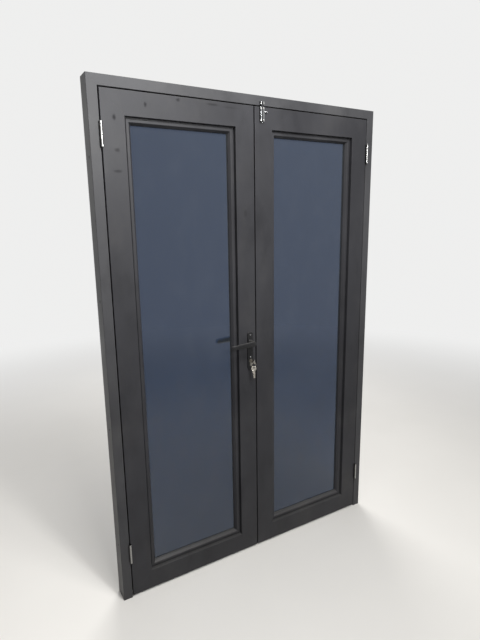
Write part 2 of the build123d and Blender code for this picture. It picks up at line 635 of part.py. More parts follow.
def lock_cuts():
    """What the lock needs cut out of the left meeting stile."""
    half_case = LOCK_CASE_THICKNESS / 2 + FACEPLATE_FIT
    pocket = block(CASE_FRONT_X - 2 * PROFILE_WALL, CASE_FRONT_X + OVERCUT, -half_case, half_case,
                   CASE_BOTTOM - FACEPLATE_FIT, CASE_TOP + FACEPLATE_FIT)
    neck = spindle_tube(-HALF_T - OVERCUT, HALF_T + OVERCUT, HUB_RADIUS)
    cylinder = euro_prism(-HALF_T - OVERCUT, HALF_T + OVERCUT, CYLINDER_HOLE_CLEARANCE)
    cuts = pocket + neck + cylinder
    for side in (-1, 1):
        for z in PLATE_SCREW_HEIGHTS:
            cuts += rod_y(side * (HALF_T - 2 * PROFILE_WALL), side * (HALF_T + OVERCUT), LOCK_X, z,
                          PAN_HEAD[2] + HINGE_PIN_FIT)
    for z in faceplate_screw_heights():
        cuts += rod_x(CASE_FRONT_X - 2 * PROFILE_WALL, CASE_FRONT_X + OVERCUT, 0, z,
                      PAN_HEAD[2] + HINGE_PIN_FIT)
    return cuts


def faceplate_screw_heights():
    """Heights of the screws at the ends of the faceplate and the strike."""
    offset = FACEPLATE_LENGTH / 2 - FACEPLATE_SCREW_INSET
    return [CASE_CENTRE - offset, CASE_CENTRE + offset]


def channel_plate(side):
    """Plate that fills the hardware channel flush; side is -1 on the left leaf and +1 on the right."""
    half = CHANNEL_WIDTH / 2 - FACEPLATE_FIT
    edge = side * MEETING_EDGE
    back = edge + side * CHANNEL_DEPTH
    plate = block(min(edge, back), max(edge, back), -half, half,
                  CASE_CENTRE - FACEPLATE_LENGTH / 2, CASE_CENTRE + FACEPLATE_LENGTH / 2)
    for z in faceplate_screw_heights():
        cone = Cone(PAN_HEAD[2] + HINGE_PIN_FIT, PAN_HEAD[0] + HINGE_PIN_FIT, CHANNEL_DEPTH)
        plate -= Pos((edge + back) / 2, 0, z) * Rot(0, -90 * side, 0) * cone
    return plate


def channel_screws(side):
    """Flat-headed screws of a channel plate."""
    edge = side * MEETING_EDGE
    back = edge + side * CHANNEL_DEPTH
    screws = []
    for z in faceplate_screw_heights():
        cone = Cone(PAN_HEAD[2], PAN_HEAD[0], CHANNEL_DEPTH)
        head = Pos((edge + back) / 2, 0, z) * Rot(0, -90 * side, 0) * cone
        screws.append(head + rod_x(back, back + side * SMALL_SCREW_LENGTH, 0, z, PAN_HEAD[2]))
    return screws


def latch_window(grow):
    """Room for the latch's head through a plate or wall."""
    half_y, half_z = LATCH_THICKNESS / 2 + grow, LATCH_HEIGHT / 2 + grow
    reach = MEETING_EDGE + BACKSET
    return block(-reach, reach, -half_y, half_y, LATCH_Z - half_z, LATCH_Z + half_z)


def bolt_window(grow):
    """Room for the dead bolt through a plate or wall."""
    half_y, half_z = BOLT_THICKNESS / 2 + grow, BOLT_HEIGHT / 2 + grow
    reach = MEETING_EDGE + BACKSET
    return block(-reach, reach, -half_y, half_y, BOLT_Z - half_z, BOLT_Z + half_z)


def lock_parts():
    """Case, cover, faceplate and screws."""
    half = LOCK_CASE_THICKNESS / 2
    back_x = CASE_FRONT_X - LOCK_CASE_DEPTH
    wall = LOCK_CASE_WALL
    case = block(back_x, CASE_FRONT_X, -half, half, CASE_BOTTOM, CASE_TOP)
    case -= block(back_x + wall, CASE_FRONT_X - wall, -half + wall, half + OVERCUT,
                  CASE_BOTTOM + wall, CASE_TOP - wall)
    cover = block(back_x + wall + FACEPLATE_FIT, CASE_FRONT_X - wall - FACEPLATE_FIT, half - wall, half,
                  CASE_BOTTOM + wall + FACEPLATE_FIT, CASE_TOP - wall - FACEPLATE_FIT)
    side_holes = euro_prism(-half - OVERCUT, half + OVERCUT, CYLINDER_HOLE_CLEARANCE)
    side_holes += spindle_tube(-half - OVERCUT, half + OVERCUT, HUB_BOSS_RADIUS + HUB_FIT)
    front_holes = latch_window(HOLE_CLEARANCE) + bolt_window(HOLE_CLEARANCE)
    front_holes &= block(CASE_FRONT_X - wall - OVERCUT, 0, -half, half, CASE_BOTTOM, CASE_TOP)
    screw_way = rod_x(CASE_FRONT_X - wall - OVERCUT, 0, 0, CYLINDER_HEIGHT - CYLINDER_SCREW_DROP,
                      CYLINDER_SCREW_RADIUS + HINGE_PIN_FIT)
    keep("lock_case", case - side_holes - front_holes - screw_way)
    keep("lock_cover", cover - side_holes)
    plate_holes = latch_window(HOLE_CLEARANCE) + bolt_window(HOLE_CLEARANCE) + screw_way
    keep("lock_faceplate", channel_plate(-1) - plate_holes - cylinder_screw())
    keep("lock_screws", *channel_screws(-1), cylinder_screw())


def cylinder_screw():
    """Long screw that holds the key cylinder from the faceplate."""
    z = CYLINDER_HEIGHT - CYLINDER_SCREW_DROP
    back = -MEETING_EDGE - CHANNEL_DEPTH
    head = Pos((back - MEETING_EDGE) / 2, 0, z) * Rot(0, 90, 0) * Cone(
        CYLINDER_SCREW_RADIUS, PAN_HEAD[0], CHANNEL_DEPTH)
    end = LOCK_X - CYLINDER_WEB_WIDTH / 2 + CYLINDER_SCREW_INSET
    return head + rod_x(back, end, 0, z, CYLINDER_SCREW_RADIUS)


def lever_parts():
    """Follower, spindle and both levers, which turn together."""
    half = LOCK_CASE_THICKNESS / 2
    inside = half - LOCK_CASE_WALL - HOLE_CLEARANCE / 2
    hub = spindle_tube(-inside, inside, HUB_RADIUS) + spindle_tube(-half, half, HUB_BOSS_RADIUS)
    tilt = math.radians(LATCH_SWING_DEG / 2)
    tip_x, tip_z = HUB_ARM_LENGTH * math.sin(tilt), HUB_ARM_LENGTH * math.cos(tilt)
    side_x, side_z = HUB_ARM_HALF_WIDTH * math.cos(tilt), -HUB_ARM_HALF_WIDTH * math.sin(tilt)
    finger = Polygon((-side_x, -side_z), (side_x, side_z), (tip_x + side_x, tip_z + side_z),
                     (tip_x - side_x, tip_z - side_z), align=None)
    finger += Pos(tip_x, tip_z) * Circle(HUB_ARM_HALF_WIDTH)
    thick = LATCH_THICKNESS / 2
    hub += Pos(LOCK_X, 0, SPINDLE_HEIGHT) * xz_prism(finger, -thick, thick)
    hole = SPINDLE_SIDE / 2 + SPINDLE_FIT
    hub -= block(LOCK_X - hole, LOCK_X + hole, -half - OVERCUT, half + OVERCUT,
                 SPINDLE_HEIGHT - hole, SPINDLE_HEIGHT + hole)
    keep("lock_follower", hub)
    reach = PLATE_FACE + LEVER_SOCKET_DEPTH - LEVER_SOCKET_PLAY
    side = SPINDLE_SIDE / 2
    keep("lever_spindle", block(LOCK_X - side, LOCK_X + side, -reach, reach,
                                SPINDLE_HEIGHT - side, SPINDLE_HEIGHT + side))
    lever = inner_lever()
    keep("inner_lever", lever)
    keep("outer_lever", flip_y(lever))


def inner_lever():
    """Neck and flat grip of the room-side lever, pointing to -X."""
    bar_front = FRONT - LEVER_STAND_OFF
    bar_back = bar_front + LEVER_THICKNESS
    heel, tip = LEVER_HEEL, -LEVER_LENGTH
    bend = tip + LEVER_HEEL
    plan = Polygon((heel, bar_back), (heel, bar_front), (bend, bar_front), (tip, bar_front + LEVER_RETURN),
                   (tip, bar_back + LEVER_RETURN), (bend + LEVER_RETURN_RUN, bar_back), align=None)
    corners = [v for v in plan.vertices() if v.X < bend + LEVER_RETURN_RUN + OVERCUT]
    plan = fillet(corners, LEVER_CORNER_RADIUS)
    grip = extrude(plan, amount=LEVER_HEIGHT / 2, both=True)
    taper = Polygon((heel, -LEVER_HEIGHT / 2), (heel, LEVER_HEIGHT / 2), (-heel, LEVER_HEIGHT / 2),
                    (tip, LEVER_TIP_HEIGHT / 2), (tip, -LEVER_TIP_HEIGHT / 2), (-heel, -LEVER_HEIGHT / 2),
                    align=None)
    grip &= xz_prism(taper, bar_front - OVERCUT, bar_back + LEVER_RETURN + OVERCUT)
    rims = grip.edges().filter_by(lambda e: abs(e.center().Z) > LEVER_TIP_HEIGHT / 2 - OVERCUT)
    grip = fillet(rims, LEVER_EDGE_RADIUS)
    grip = Pos(LOCK_X, 0, SPINDLE_HEIGHT) * grip
    lever = grip + spindle_tube(FRONT - LEVER_NECK_FIT, bar_back - LEVER_THICKNESS / 2, LEVER_NECK_RADIUS)
    side = SPINDLE_SIDE / 2 + SPINDLE_FIT
    depth = -PLATE_FACE - LEVER_SOCKET_DEPTH
    return lever - block(LOCK_X - side, LOCK_X + side, depth, 0,
                         SPINDLE_HEIGHT - side, SPINDLE_HEIGHT + side)


def plate_parts():
    """Lever plates on both faces and their screws."""
    outline = RectangleRounded(PLATE_WIDTH, PLATE_TOP - PLATE_BOTTOM, PLATE_CORNER_RADIUS)
    plate = Pos(LOCK_X, 0, PLATE_CENTRE) * xz_prism(outline, -PLATE_FACE, FRONT)
    plate = fillet(plate.edges().group_by(Axis.Y)[0], PLATE_EDGE_RADIUS)
    plate -= spindle_tube(-PLATE_FACE - OVERCUT, FRONT + OVERCUT, LEVER_NECK_RADIUS + LEVER_NECK_FIT)
    plate -= euro_prism(-PLATE_FACE - OVERCUT, FRONT + OVERCUT, CYLINDER_HOLE_CLEARANCE / 2)
    screws = []
    for z in PLATE_SCREW_HEIGHTS:
        plate -= rod_y(-PLATE_FACE - OVERCUT, FRONT + OVERCUT, LOCK_X, z, PAN_HEAD[2] + HINGE_PIN_FIT)
        screws.append(Pos(LOCK_X, -PLATE_FACE, z) * pan_screw(PAN_HEAD, PLATE_SCREW_LENGTH))
    keep("inner_lever_plate", plate)
    keep("outer_lever_plate", flip_y(plate))
    keep("lever_plate_screws", *screws, *[flip_y(s) for s in screws])


def latch_parts():
    """Spring latch with its tail hook, and the dead bolt with its cam notch."""
    half_y, half_z = LATCH_THICKNESS / 2, LATCH_HEIGHT / 2
    nose = -MEETING_EDGE + LATCH_PROJECTION
    rear = CASE_FRONT_X - LATCH_HEAD_INSIDE
    bevel = Polygon((rear, -half_y), (nose, -half_y), (nose, -half_y + LATCH_NOSE_FLAT),
                    (-MEETING_EDGE + LATCH_BEVEL_START, half_y),
                    (rear, half_y), align=None)
    head = Pos(0, 0, LATCH_Z - half_z) * extrude(bevel, amount=LATCH_HEIGHT)
    arm_side = HUB_ARM_LENGTH * math.sin(math.radians(LATCH_SWING_DEG / 2)) - HUB_ARM_HALF_WIDTH
    hook_face = LOCK_X + arm_side - LATCH_LOST_MOTION
    hook_back = hook_face - LATCH_HOOK_THICKNESS
    tail_low = SPINDLE_HEIGHT + HUB_ARM_LENGTH + HUB_ARM_HALF_WIDTH + LATCH_LOST_MOTION
    tail = block(hook_back, rear + LATCH_JOIN, -half_y, half_y, tail_low, tail_low + LATCH_TAIL_DEPTH)
    hook = block(hook_back, hook_face, -half_y, half_y, tail_low - LATCH_HOOK_DROP + LATCH_LOST_MOTION,
                 tail_low + LATCH_JOIN)
    keep("latch_bolt", head + tail + hook)
    front = -MEETING_EDGE - BOLT_INSET
    half_bolt = BOLT_THICKNESS / 2
    bolt = block(front - BOLT_LENGTH, front, -half_bolt, half_bolt, BOLT_Z - BOLT_HEIGHT / 2,
                 BOLT_Z + BOLT_HEIGHT / 2)
    notch_x = LOCK_X - CAM_TIP_CENTRE * math.sin(math.radians(CAM_REST_DEG))
    notch = CAM_TIP_RADIUS + CAM_NOTCH_CLEARANCE
    notch_top = CYLINDER_HEIGHT + CAM_TIP_CENTRE + CAM_TIP_RADIUS + HOLE_CLEARANCE * 2
    bolt -= block(notch_x - notch, notch_x + notch, -half_bolt, half_bolt, BOLT_Z - BOLT_HEIGHT, notch_top)
    keep("dead_bolt", bolt)


# Key cylinder and keys


def key_solid():
    """Key with the hole of its bow at the origin, its blade along +Y and its bow in Y and Z."""
    half = KEY_THICKNESS / 2
    bow = Circle(KEY_BOW_RADIUS)
    neck = Pos(KEY_SHOULDER / 2, 0) * Rectangle(KEY_SHOULDER, KEY_NECK_WIDTH)
    blade_end = KEY_SHOULDER + KEY_BLADE_LENGTH
    low, high = -KEY_BLADE_HEIGHT / 2 - KEY_BLADE_OFFSET, KEY_BLADE_HEIGHT / 2 - KEY_BLADE_OFFSET
    tip = KEY_TIP_LENGTH
    blade = Polygon((KEY_SHOULDER - KEY_TIP_LENGTH, low), (blade_end - tip, low), (blade_end, low + tip),
                    (blade_end, high - tip), (blade_end - tip, high), (KEY_SHOULDER - KEY_TIP_LENGTH, high),
                    align=None)
    shape = bow + neck + blade - Pos(-KEY_HOLE_OFFSET, 0) * Circle(KEY_HOLE_RADIUS)
    pitch = KEY_BLADE_LENGTH / (len(KEY_CUT_DEPTHS) + 1)
    for i, depth in enumerate(KEY_CUT_DEPTHS):
        x = KEY_SHOULDER + pitch * (i + KEY_CUT_START)
        floor = KEY_CUT_FLOOR / 2
        shape -= Polygon((x - floor - depth, high), (x - floor, high - depth), (x + floor, high - depth),
                         (x + floor + depth, high), align=None)
    shape = Pos(KEY_HOLE_OFFSET, 0) * shape
    return extrude(Plane.YZ * shape, amount=half, both=True)


def key_parts():
    """Cylinder, plugs, cam, both keys and the ring."""
    half = CYLINDER_HALF_LENGTH
    gap = CAM_THICKNESS / 2 + CAM_GAP
    body = euro_prism(-half, half)
    body -= rod_y(-half - OVERCUT, half + OVERCUT, LOCK_X, CYLINDER_HEIGHT, PLUG_RADIUS + PLUG_FIT)
    slot = gap + CAM_GAP / 2
    body -= block(LOCK_X - CAM_REACH, LOCK_X + CAM_REACH, -slot, slot,
                  CYLINDER_HEIGHT - CAM_BRIDGE_DROP, CYLINDER_HEIGHT + CAM_REACH)
    body -= cylinder_screw()
    keep("cylinder_body", body)
    way = KEY_THICKNESS / 2 + KEYWAY_FIT
    low = CYLINDER_HEIGHT - KEY_BLADE_HEIGHT / 2 - KEY_BLADE_OFFSET - KEYWAY_FIT
    high = CYLINDER_HEIGHT + KEY_BLADE_HEIGHT / 2 - KEY_BLADE_OFFSET + KEYWAY_FIT
    plug = rod_y(-half, -gap, LOCK_X, CYLINDER_HEIGHT, PLUG_RADIUS)
    plug -= block(LOCK_X - way, LOCK_X + way, -half - OVERCUT, -gap + OVERCUT, low, high)
    keep("cylinder_plugs", plug, flip_y(plug))
    tilt = math.radians(CAM_REST_DEG)
    tip_x, tip_z = -CAM_TIP_CENTRE * math.sin(tilt), CAM_TIP_CENTRE * math.cos(tilt)
    side_x, side_z = CAM_TIP_RADIUS * math.cos(tilt), CAM_TIP_RADIUS * math.sin(tilt)
    cam = Circle(CAM_HUB_RADIUS) + Pos(tip_x, tip_z) * Circle(CAM_TIP_RADIUS)
    cam += Polygon((-side_x, -side_z), (side_x, side_z), (tip_x + side_x, tip_z + side_z),
                   (tip_x - side_x, tip_z - side_z), align=None)
    cam_half = CAM_THICKNESS / 2
    keep("cylinder_cam", Pos(LOCK_X, 0, CYLINDER_HEIGHT) * xz_prism(cam, -cam_half, cam_half))
    key = key_solid()
    keep("key", Pos(LOCK_X, KEY_HOLE_Y, CYLINDER_HEIGHT) * key)
    ring = Rot(90, 0, 0) * Torus(RING_RADIUS, RING_WIRE_RADIUS)
    keep("key_ring", Pos(LOCK_X, KEY_HOLE_Y, RING_CENTRE_Z) * ring)
    spare = Rot(0, 0, SPARE_KEY_TURN_DEG) * Rot(-90, 0, 0) * key
    keep("spare_key", Pos(LOCK_X, KEY_HOLE_Y, SPARE_HOLE_Z) * spare)


# Right leaf's own pieces

def strike_cuts():
    """What the strike needs cut out of the right meeting stile."""
    back = MEETING_EDGE + CHANNEL_DEPTH
    zone = block(back - OVERCUT, back + 2 * PROFILE_WALL, -HALF_T, HALF_T, CASE_BOTTOM, CASE_TOP)
    cuts = (latch_window(2 * HOLE_CLEARANCE) + bolt_window(2 * HOLE_CLEARANCE)) & zone
    for z in faceplate_screw_heights():
        cuts += rod_x(back - OVERCUT, back + 2 * PROFILE_WALL, 0, z, PAN_HEAD[2] + HINGE_PIN_FIT)
    return cuts


def slide_screw(x, z, grow=0.0):
    """Screw of the slide bolt or its keeper, head at the cheek's front."""
    head_radius, head_height, shank_radius = SMALL_HEAD
    sizes = (head_radius + grow, head_height, shank_radius + grow)
    screw = pan_screw(sizes, SLIDE_DEPTH + SMALL_SCREW_LENGTH)
    return Pos(x, FRONT - SLIDE_DEPTH + head_height - HOLE_CLEARANCE, z) * screw


def keeper_screws():
    """Two screws that hold the keeper to the head."""
    z = (KEEPER_BOTTOM + KEEPER_TOP) / 2
    return [slide_screw(SLIDE_X + side * SLIDE_SCREW_X, z) for side in (-1, 1)]


def slide_screws():
    """Four screws that hold the slide bolt's base to the leaf."""
    return [slide_screw(SLIDE_X + side * SLIDE_SCREW_X, z)
            for side in (-1, 1) for z in (SLIDE_BOTTOM + SLIDE_SCREW_INSET, SLIDE_TOP - SLIDE_SCREW_INSET)]


def slide_bolt_cuts():
    """Screw holes of the slide bolt in the stile's front wall."""
    cuts = Part()
    for side in (-1, 1):
        for z in (SLIDE_BOTTOM + SLIDE_SCREW_INSET, SLIDE_TOP - SLIDE_SCREW_INSET):
            cuts += slide_screw(SLIDE_X + side * SLIDE_SCREW_X, z, HINGE_PIN_FIT)
    return cuts


def slide_housing(z0, z1):
    """Grooved block that guides the bolt, open at the front over the rod."""
    half = SLIDE_WIDTH / 2
    housing = block(SLIDE_X - half, SLIDE_X + half, FRONT - SLIDE_DEPTH, FRONT, z0, z1)
    long_edges = housing.edges().filter_by(Axis.Z).group_by(Axis.Y)[0]
    housing = fillet(long_edges, SLIDE_EDGE_RADIUS)
    housing -= rod_z(z0 - OVERCUT, z1 + OVERCUT, SLIDE_X, SLIDE_AXIS_Y, SLIDE_ROD_RADIUS + SLIDE_ROD_FIT)
    slot = SLIDE_SLOT_WIDTH / 2
    return housing - block(SLIDE_X - slot, SLIDE_X + slot, FRONT - SLIDE_DEPTH - OVERCUT, SLIDE_AXIS_Y,
                           z0 - OVERCUT, z1 + OVERCUT)


def slide_bolt_parts():
    """Base, rod with its knob, keeper, strike and meeting seal."""
    base = slide_housing(SLIDE_BOTTOM, SLIDE_TOP)
    slot = KNOB_NECK_RADIUS + KNOB_SLOT_CLEARANCE
    base -= block(SLIDE_X, SLIDE_X + SLIDE_WIDTH, SLIDE_AXIS_Y - slot, SLIDE_AXIS_Y + slot,
                  KNOB_Z - SLIDE_TRAVEL - slot, KNOB_Z + slot)
    for screw in slide_screws():
        base -= screw
    keeper = slide_housing(KEEPER_BOTTOM, KEEPER_TOP)
    for screw in keeper_screws():
        keeper -= screw
    rod = rod_z(SLIDE_BOTTOM + SLIDE_BELOW_LEAF_TOP, ROD_TOP, SLIDE_X, SLIDE_AXIS_Y, SLIDE_ROD_RADIUS)
    rod = chamfer(rod.edges().group_by(Axis.Z)[-1], SLIDE_ROD_CHAMFER)
    knob_end = SLIDE_X + KNOB_REACH
    rod += rod_x(SLIDE_X, knob_end - KNOB_RADIUS, SLIDE_AXIS_Y, KNOB_Z, KNOB_NECK_RADIUS)
    rod += Pos(knob_end - KNOB_RADIUS / 2, SLIDE_AXIS_Y, KNOB_Z) * Sphere(KNOB_RADIUS)
    keep("slide_bolt_base", base)
    keep("slide_bolt_keeper", keeper)
    keep("slide_bolt_rod", rod)
    keep("slide_bolt_screws", *slide_screws())
    strike = channel_plate(1) - latch_window(2 * HOLE_CLEARANCE) - bolt_window(2 * HOLE_CLEARANCE)
    keep("strike_plate", strike)
    keep("strike_screws", *channel_screws(1))
    land = (CHANNEL_WIDTH / 2 + HALF_T - PROFILE_ARRIS) / 2
    seal = block(MEETING_EDGE - SEAL_THICKNESS, MEETING_EDGE, land - SEAL_WIDTH / 2, land + SEAL_WIDTH / 2,
                 FLOOR_GAP + SEAL_END_INSET, LEAF_TOP - SEAL_END_INSET)
    seal = fillet(seal.edges().filter_by(Axis.Z).group_by(Axis.X)[0], SEAL_ROUNDING)
    keep("meeting_seal", seal)


def main():
    """Build every node and write it to its own file."""
    frame_parts()
    hinge_parts()
    leaf_parts()
    lock_parts()
    lever_parts()
    plate_parts()
    latch_parts()
    key_parts()
    slide_bolt_parts()
    os.makedirs("parts", exist_ok=True)
    for name, solids in PARTS.items():
        shape = solids[0] if len(solids) == 1 else Compound(children=solids)
        export_step(shape, f"parts/{name}.step")
    print(f"{len(PARTS)} nodes, latch travel {LATCH_TRAVEL:.3f}, bolt travel {BOLT_TRAVEL:.3f}")


main()
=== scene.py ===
"""Looks of the glass entrance door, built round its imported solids.

Metres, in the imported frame: X across the door, Y through it to the outside, Z up.
Meshes are made in place, with their objects at the origin, so Object coordinates
are the frame's own and stay with a piece when its body moves.
"""

import logging
import math
import random
from dataclasses import dataclass, field
from enum import Enum
from typing import Sequence

import bmesh
import bpy
from mathutils import Matrix, Quaternion, Vector


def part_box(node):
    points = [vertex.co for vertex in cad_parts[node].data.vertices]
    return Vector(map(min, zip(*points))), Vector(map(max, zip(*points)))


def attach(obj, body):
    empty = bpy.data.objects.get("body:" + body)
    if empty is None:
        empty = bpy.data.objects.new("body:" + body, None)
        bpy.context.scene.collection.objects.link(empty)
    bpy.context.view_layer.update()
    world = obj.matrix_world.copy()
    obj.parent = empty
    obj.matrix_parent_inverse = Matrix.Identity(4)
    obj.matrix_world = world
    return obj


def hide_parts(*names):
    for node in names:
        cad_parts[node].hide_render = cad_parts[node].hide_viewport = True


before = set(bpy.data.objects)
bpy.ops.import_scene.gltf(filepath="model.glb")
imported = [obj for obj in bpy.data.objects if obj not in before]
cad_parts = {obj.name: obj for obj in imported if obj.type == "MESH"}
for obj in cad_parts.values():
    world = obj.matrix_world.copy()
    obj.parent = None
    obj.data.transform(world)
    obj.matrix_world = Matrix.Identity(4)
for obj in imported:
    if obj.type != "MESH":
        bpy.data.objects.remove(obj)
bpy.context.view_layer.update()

log = logging.getLogger("door")

Colour = tuple[float, float, float]
Point = tuple[float, float, float]
Pair = tuple[float, float]
Node = bpy.types.Node
Socket = bpy.types.NodeSocket
Piece = bpy.types.Object


class Body(Enum):
    """Moving bodies that new pieces ride on."""

    FRAME = "frame"
    LEFT_LEAF = "left_leaf"
    RIGHT_LEAF = "right_leaf"
    LEVER = "lever"
    KEY = "key_and_plug"
    HANGING_KEYS = "hanging_keys"
    SLIDE_BOLT = "slide_bolt"


class Side(Enum):
    """Leaf seen from the room."""

    LEFT = "left"
    RIGHT = "right"


# Shader graphs


@dataclass
class Graph:
    """A node tree with short ways to add nodes and join them.

    Attributes:
        tree: The material's or the group's node tree.
    """

    tree: bpy.types.NodeTree

    def add(self, kind: str, **settings: object) -> Node:
        """Add a node.

        Args:
            kind: Blender's type name of the node.
            **settings: Properties of the node.

        Returns:
            The new node.
        """
        node = self.tree.nodes.new(kind)
        for name, value in settings.items():
            setattr(node, name, value)
        return node

    def feed(self, target: Socket, source: object) -> None:
        """Join a socket to another socket's value, or set it to a plain value.

        Args:
            target: Input socket.
            source: Output socket, number or tuple.
        """
        if isinstance(source, Socket):
            self.tree.links.new(source, target)
        else:
            target.default_value = source

    def math(self, operation: str, a: object, b: object = 0.0, clamp: bool = False) -> Socket:
        """Add a Math node.

        Args:
            operation: Blender's name of the operation.
            a: First value or socket.
            b: Second value or socket.
            clamp: Whether the result is kept between 0 and 1.

        Returns:
            The result's socket.
        """
        node = self.add("ShaderNodeMath", operation=operation, use_clamp=clamp)
        self.feed(node.inputs[0], a)
        self.feed(node.inputs[1], b)
        return node.outputs[0]

    def remap(self, value: object, low: float, high: float, to_low: float = 0.0, to_high: float = 1.0,
              smooth: bool = True) -> Socket:
        """Map one range onto another and clamp it.

        Args:
            value: Value or socket.
            low: Start of the range.
            high: End of the range.
            to_low: Result at the start.
            to_high: Result at the end.
            smooth: Whether the step is smooth and not straight.

        Returns:
            The result's socket.
        """
        node = self.add("ShaderNodeMapRange", interpolation_type="SMOOTHSTEP" if smooth else "LINEAR")
        for socket, part in zip(node.inputs, (value, low, high, to_low, to_high)):
            self.feed(socket, part)
        return node.outputs[0]

    def noise(self, place: object, scale: object, detail: float = 2.0, rough: float = 0.5) -> Socket:
        """Add a Noise Texture.

        Args:
            place: Vector socket.
            scale: Scale, a number or a socket.
            detail: Octaves.
            rough: Share of each further octave.

        Returns:
            The noise's value, about 0.5 on average.
        """
        node = self.add("ShaderNodeTexNoise")
        self.feed(node.inputs["Vector"], place)
        self.feed(node.inputs["Scale"], scale)
        node.inputs["Detail"].default_value = detail
        node.inputs["Roughness"].default_value = rough
        return node.outputs["Fac"]

    def vector(self, operation: str, a: object, b: object = None) -> Node:
        """Add a Vector Math node.

        Args:
            operation: Blender's name of the operation.
            a: First vector.
            b: Second vector, or None where the operation takes one.

        Returns:
            The node, because its result is a vector or a value.
        """
        node = self.add("ShaderNodeVectorMath", operation=operation)
        self.feed(node.inputs[0], a)
        if b is not None:
            self.feed(node.inputs[1], b)
        return node

    def stretch(self, place: object, scale: object) -> Socket:
        """Scale a vector along each axis.

        Args:
            place: Vector socket.
            scale: Factors along X, Y and Z.

        Returns:
            The scaled vector's socket.
        """
        return self.vector("MULTIPLY", place, scale).outputs[0]

    def part(self, vector: object, axis: str) -> Socket:
        """Give one part of a vector.

        Args:
            vector: Vector socket.
            axis: X, Y or Z.

        Returns:
            The part's socket.
        """
        node = self.add("ShaderNodeSeparateXYZ")
        self.feed(node.inputs[0], vector)
        return node.outputs[axis]

    def blend(self, share: object, a: object, b: object) -> Socket:
        """Mix two colours.

        Args:
            share: Share of the second colour.
            a: First colour.
            b: Second colour.

        Returns:
            The mixed colour's socket.
        """
        node = self.add("ShaderNodeMix", data_type="RGBA")
        # Inputs 6 and 7 and output 2 are its colours; those between are for numbers and vectors.
        for socket, part in ((node.inputs[0], share), (node.inputs[6], a), (node.inputs[7], b)):
            self.feed(socket, (*part, 1.0) if isinstance(part, tuple) and len(part) == 3 else part)
        return node.outputs[2]

    def place(self) -> Socket:
        """Give the surface's point in the part's frame."""
        return self.add("ShaderNodeTexCoord").outputs["Object"]

    def group(self, tree: bpy.types.NodeTree, **values: object) -> Node:
        """Place a node group.

        Args:
            tree: The group's tree.
            **values: Values or sockets for its inputs, with underscores for spaces.

        Returns:
            The group's node.
        """
        node = self.add("ShaderNodeGroup", node_tree=tree)
        for name, value in values.items():
            self.feed(node.inputs[name.replace("_", " ")], value)
        return node


FLOAT = "NodeSocketFloat"
VECTOR = "NodeSocketVector"


def new_group(name: str, inputs: Sequence[tuple[str, str, float]],
              outputs: Sequence[tuple[str, str]]) -> tuple[Graph, Node, Node]:
    """Start a shader node group.

    Args:
        name: The group's name.
        inputs: Name, socket type and default of each input.
        outputs: Name and socket type of each output.

    Returns:
        The group's graph, its input node and its output node.
    """
    tree = bpy.data.node_groups.new(name, "ShaderNodeTree")
    for label, kind, default in inputs:
        socket = tree.interface.new_socket(label, in_out="INPUT", socket_type=kind)
        if kind == FLOAT:
            socket.default_value = default
    for label, kind in outputs:
        tree.interface.new_socket(label, in_out="OUTPUT", socket_type=kind)
    graph = Graph(tree)
    return graph, graph.add("NodeGroupInput"), graph.add("NodeGroupOutput")


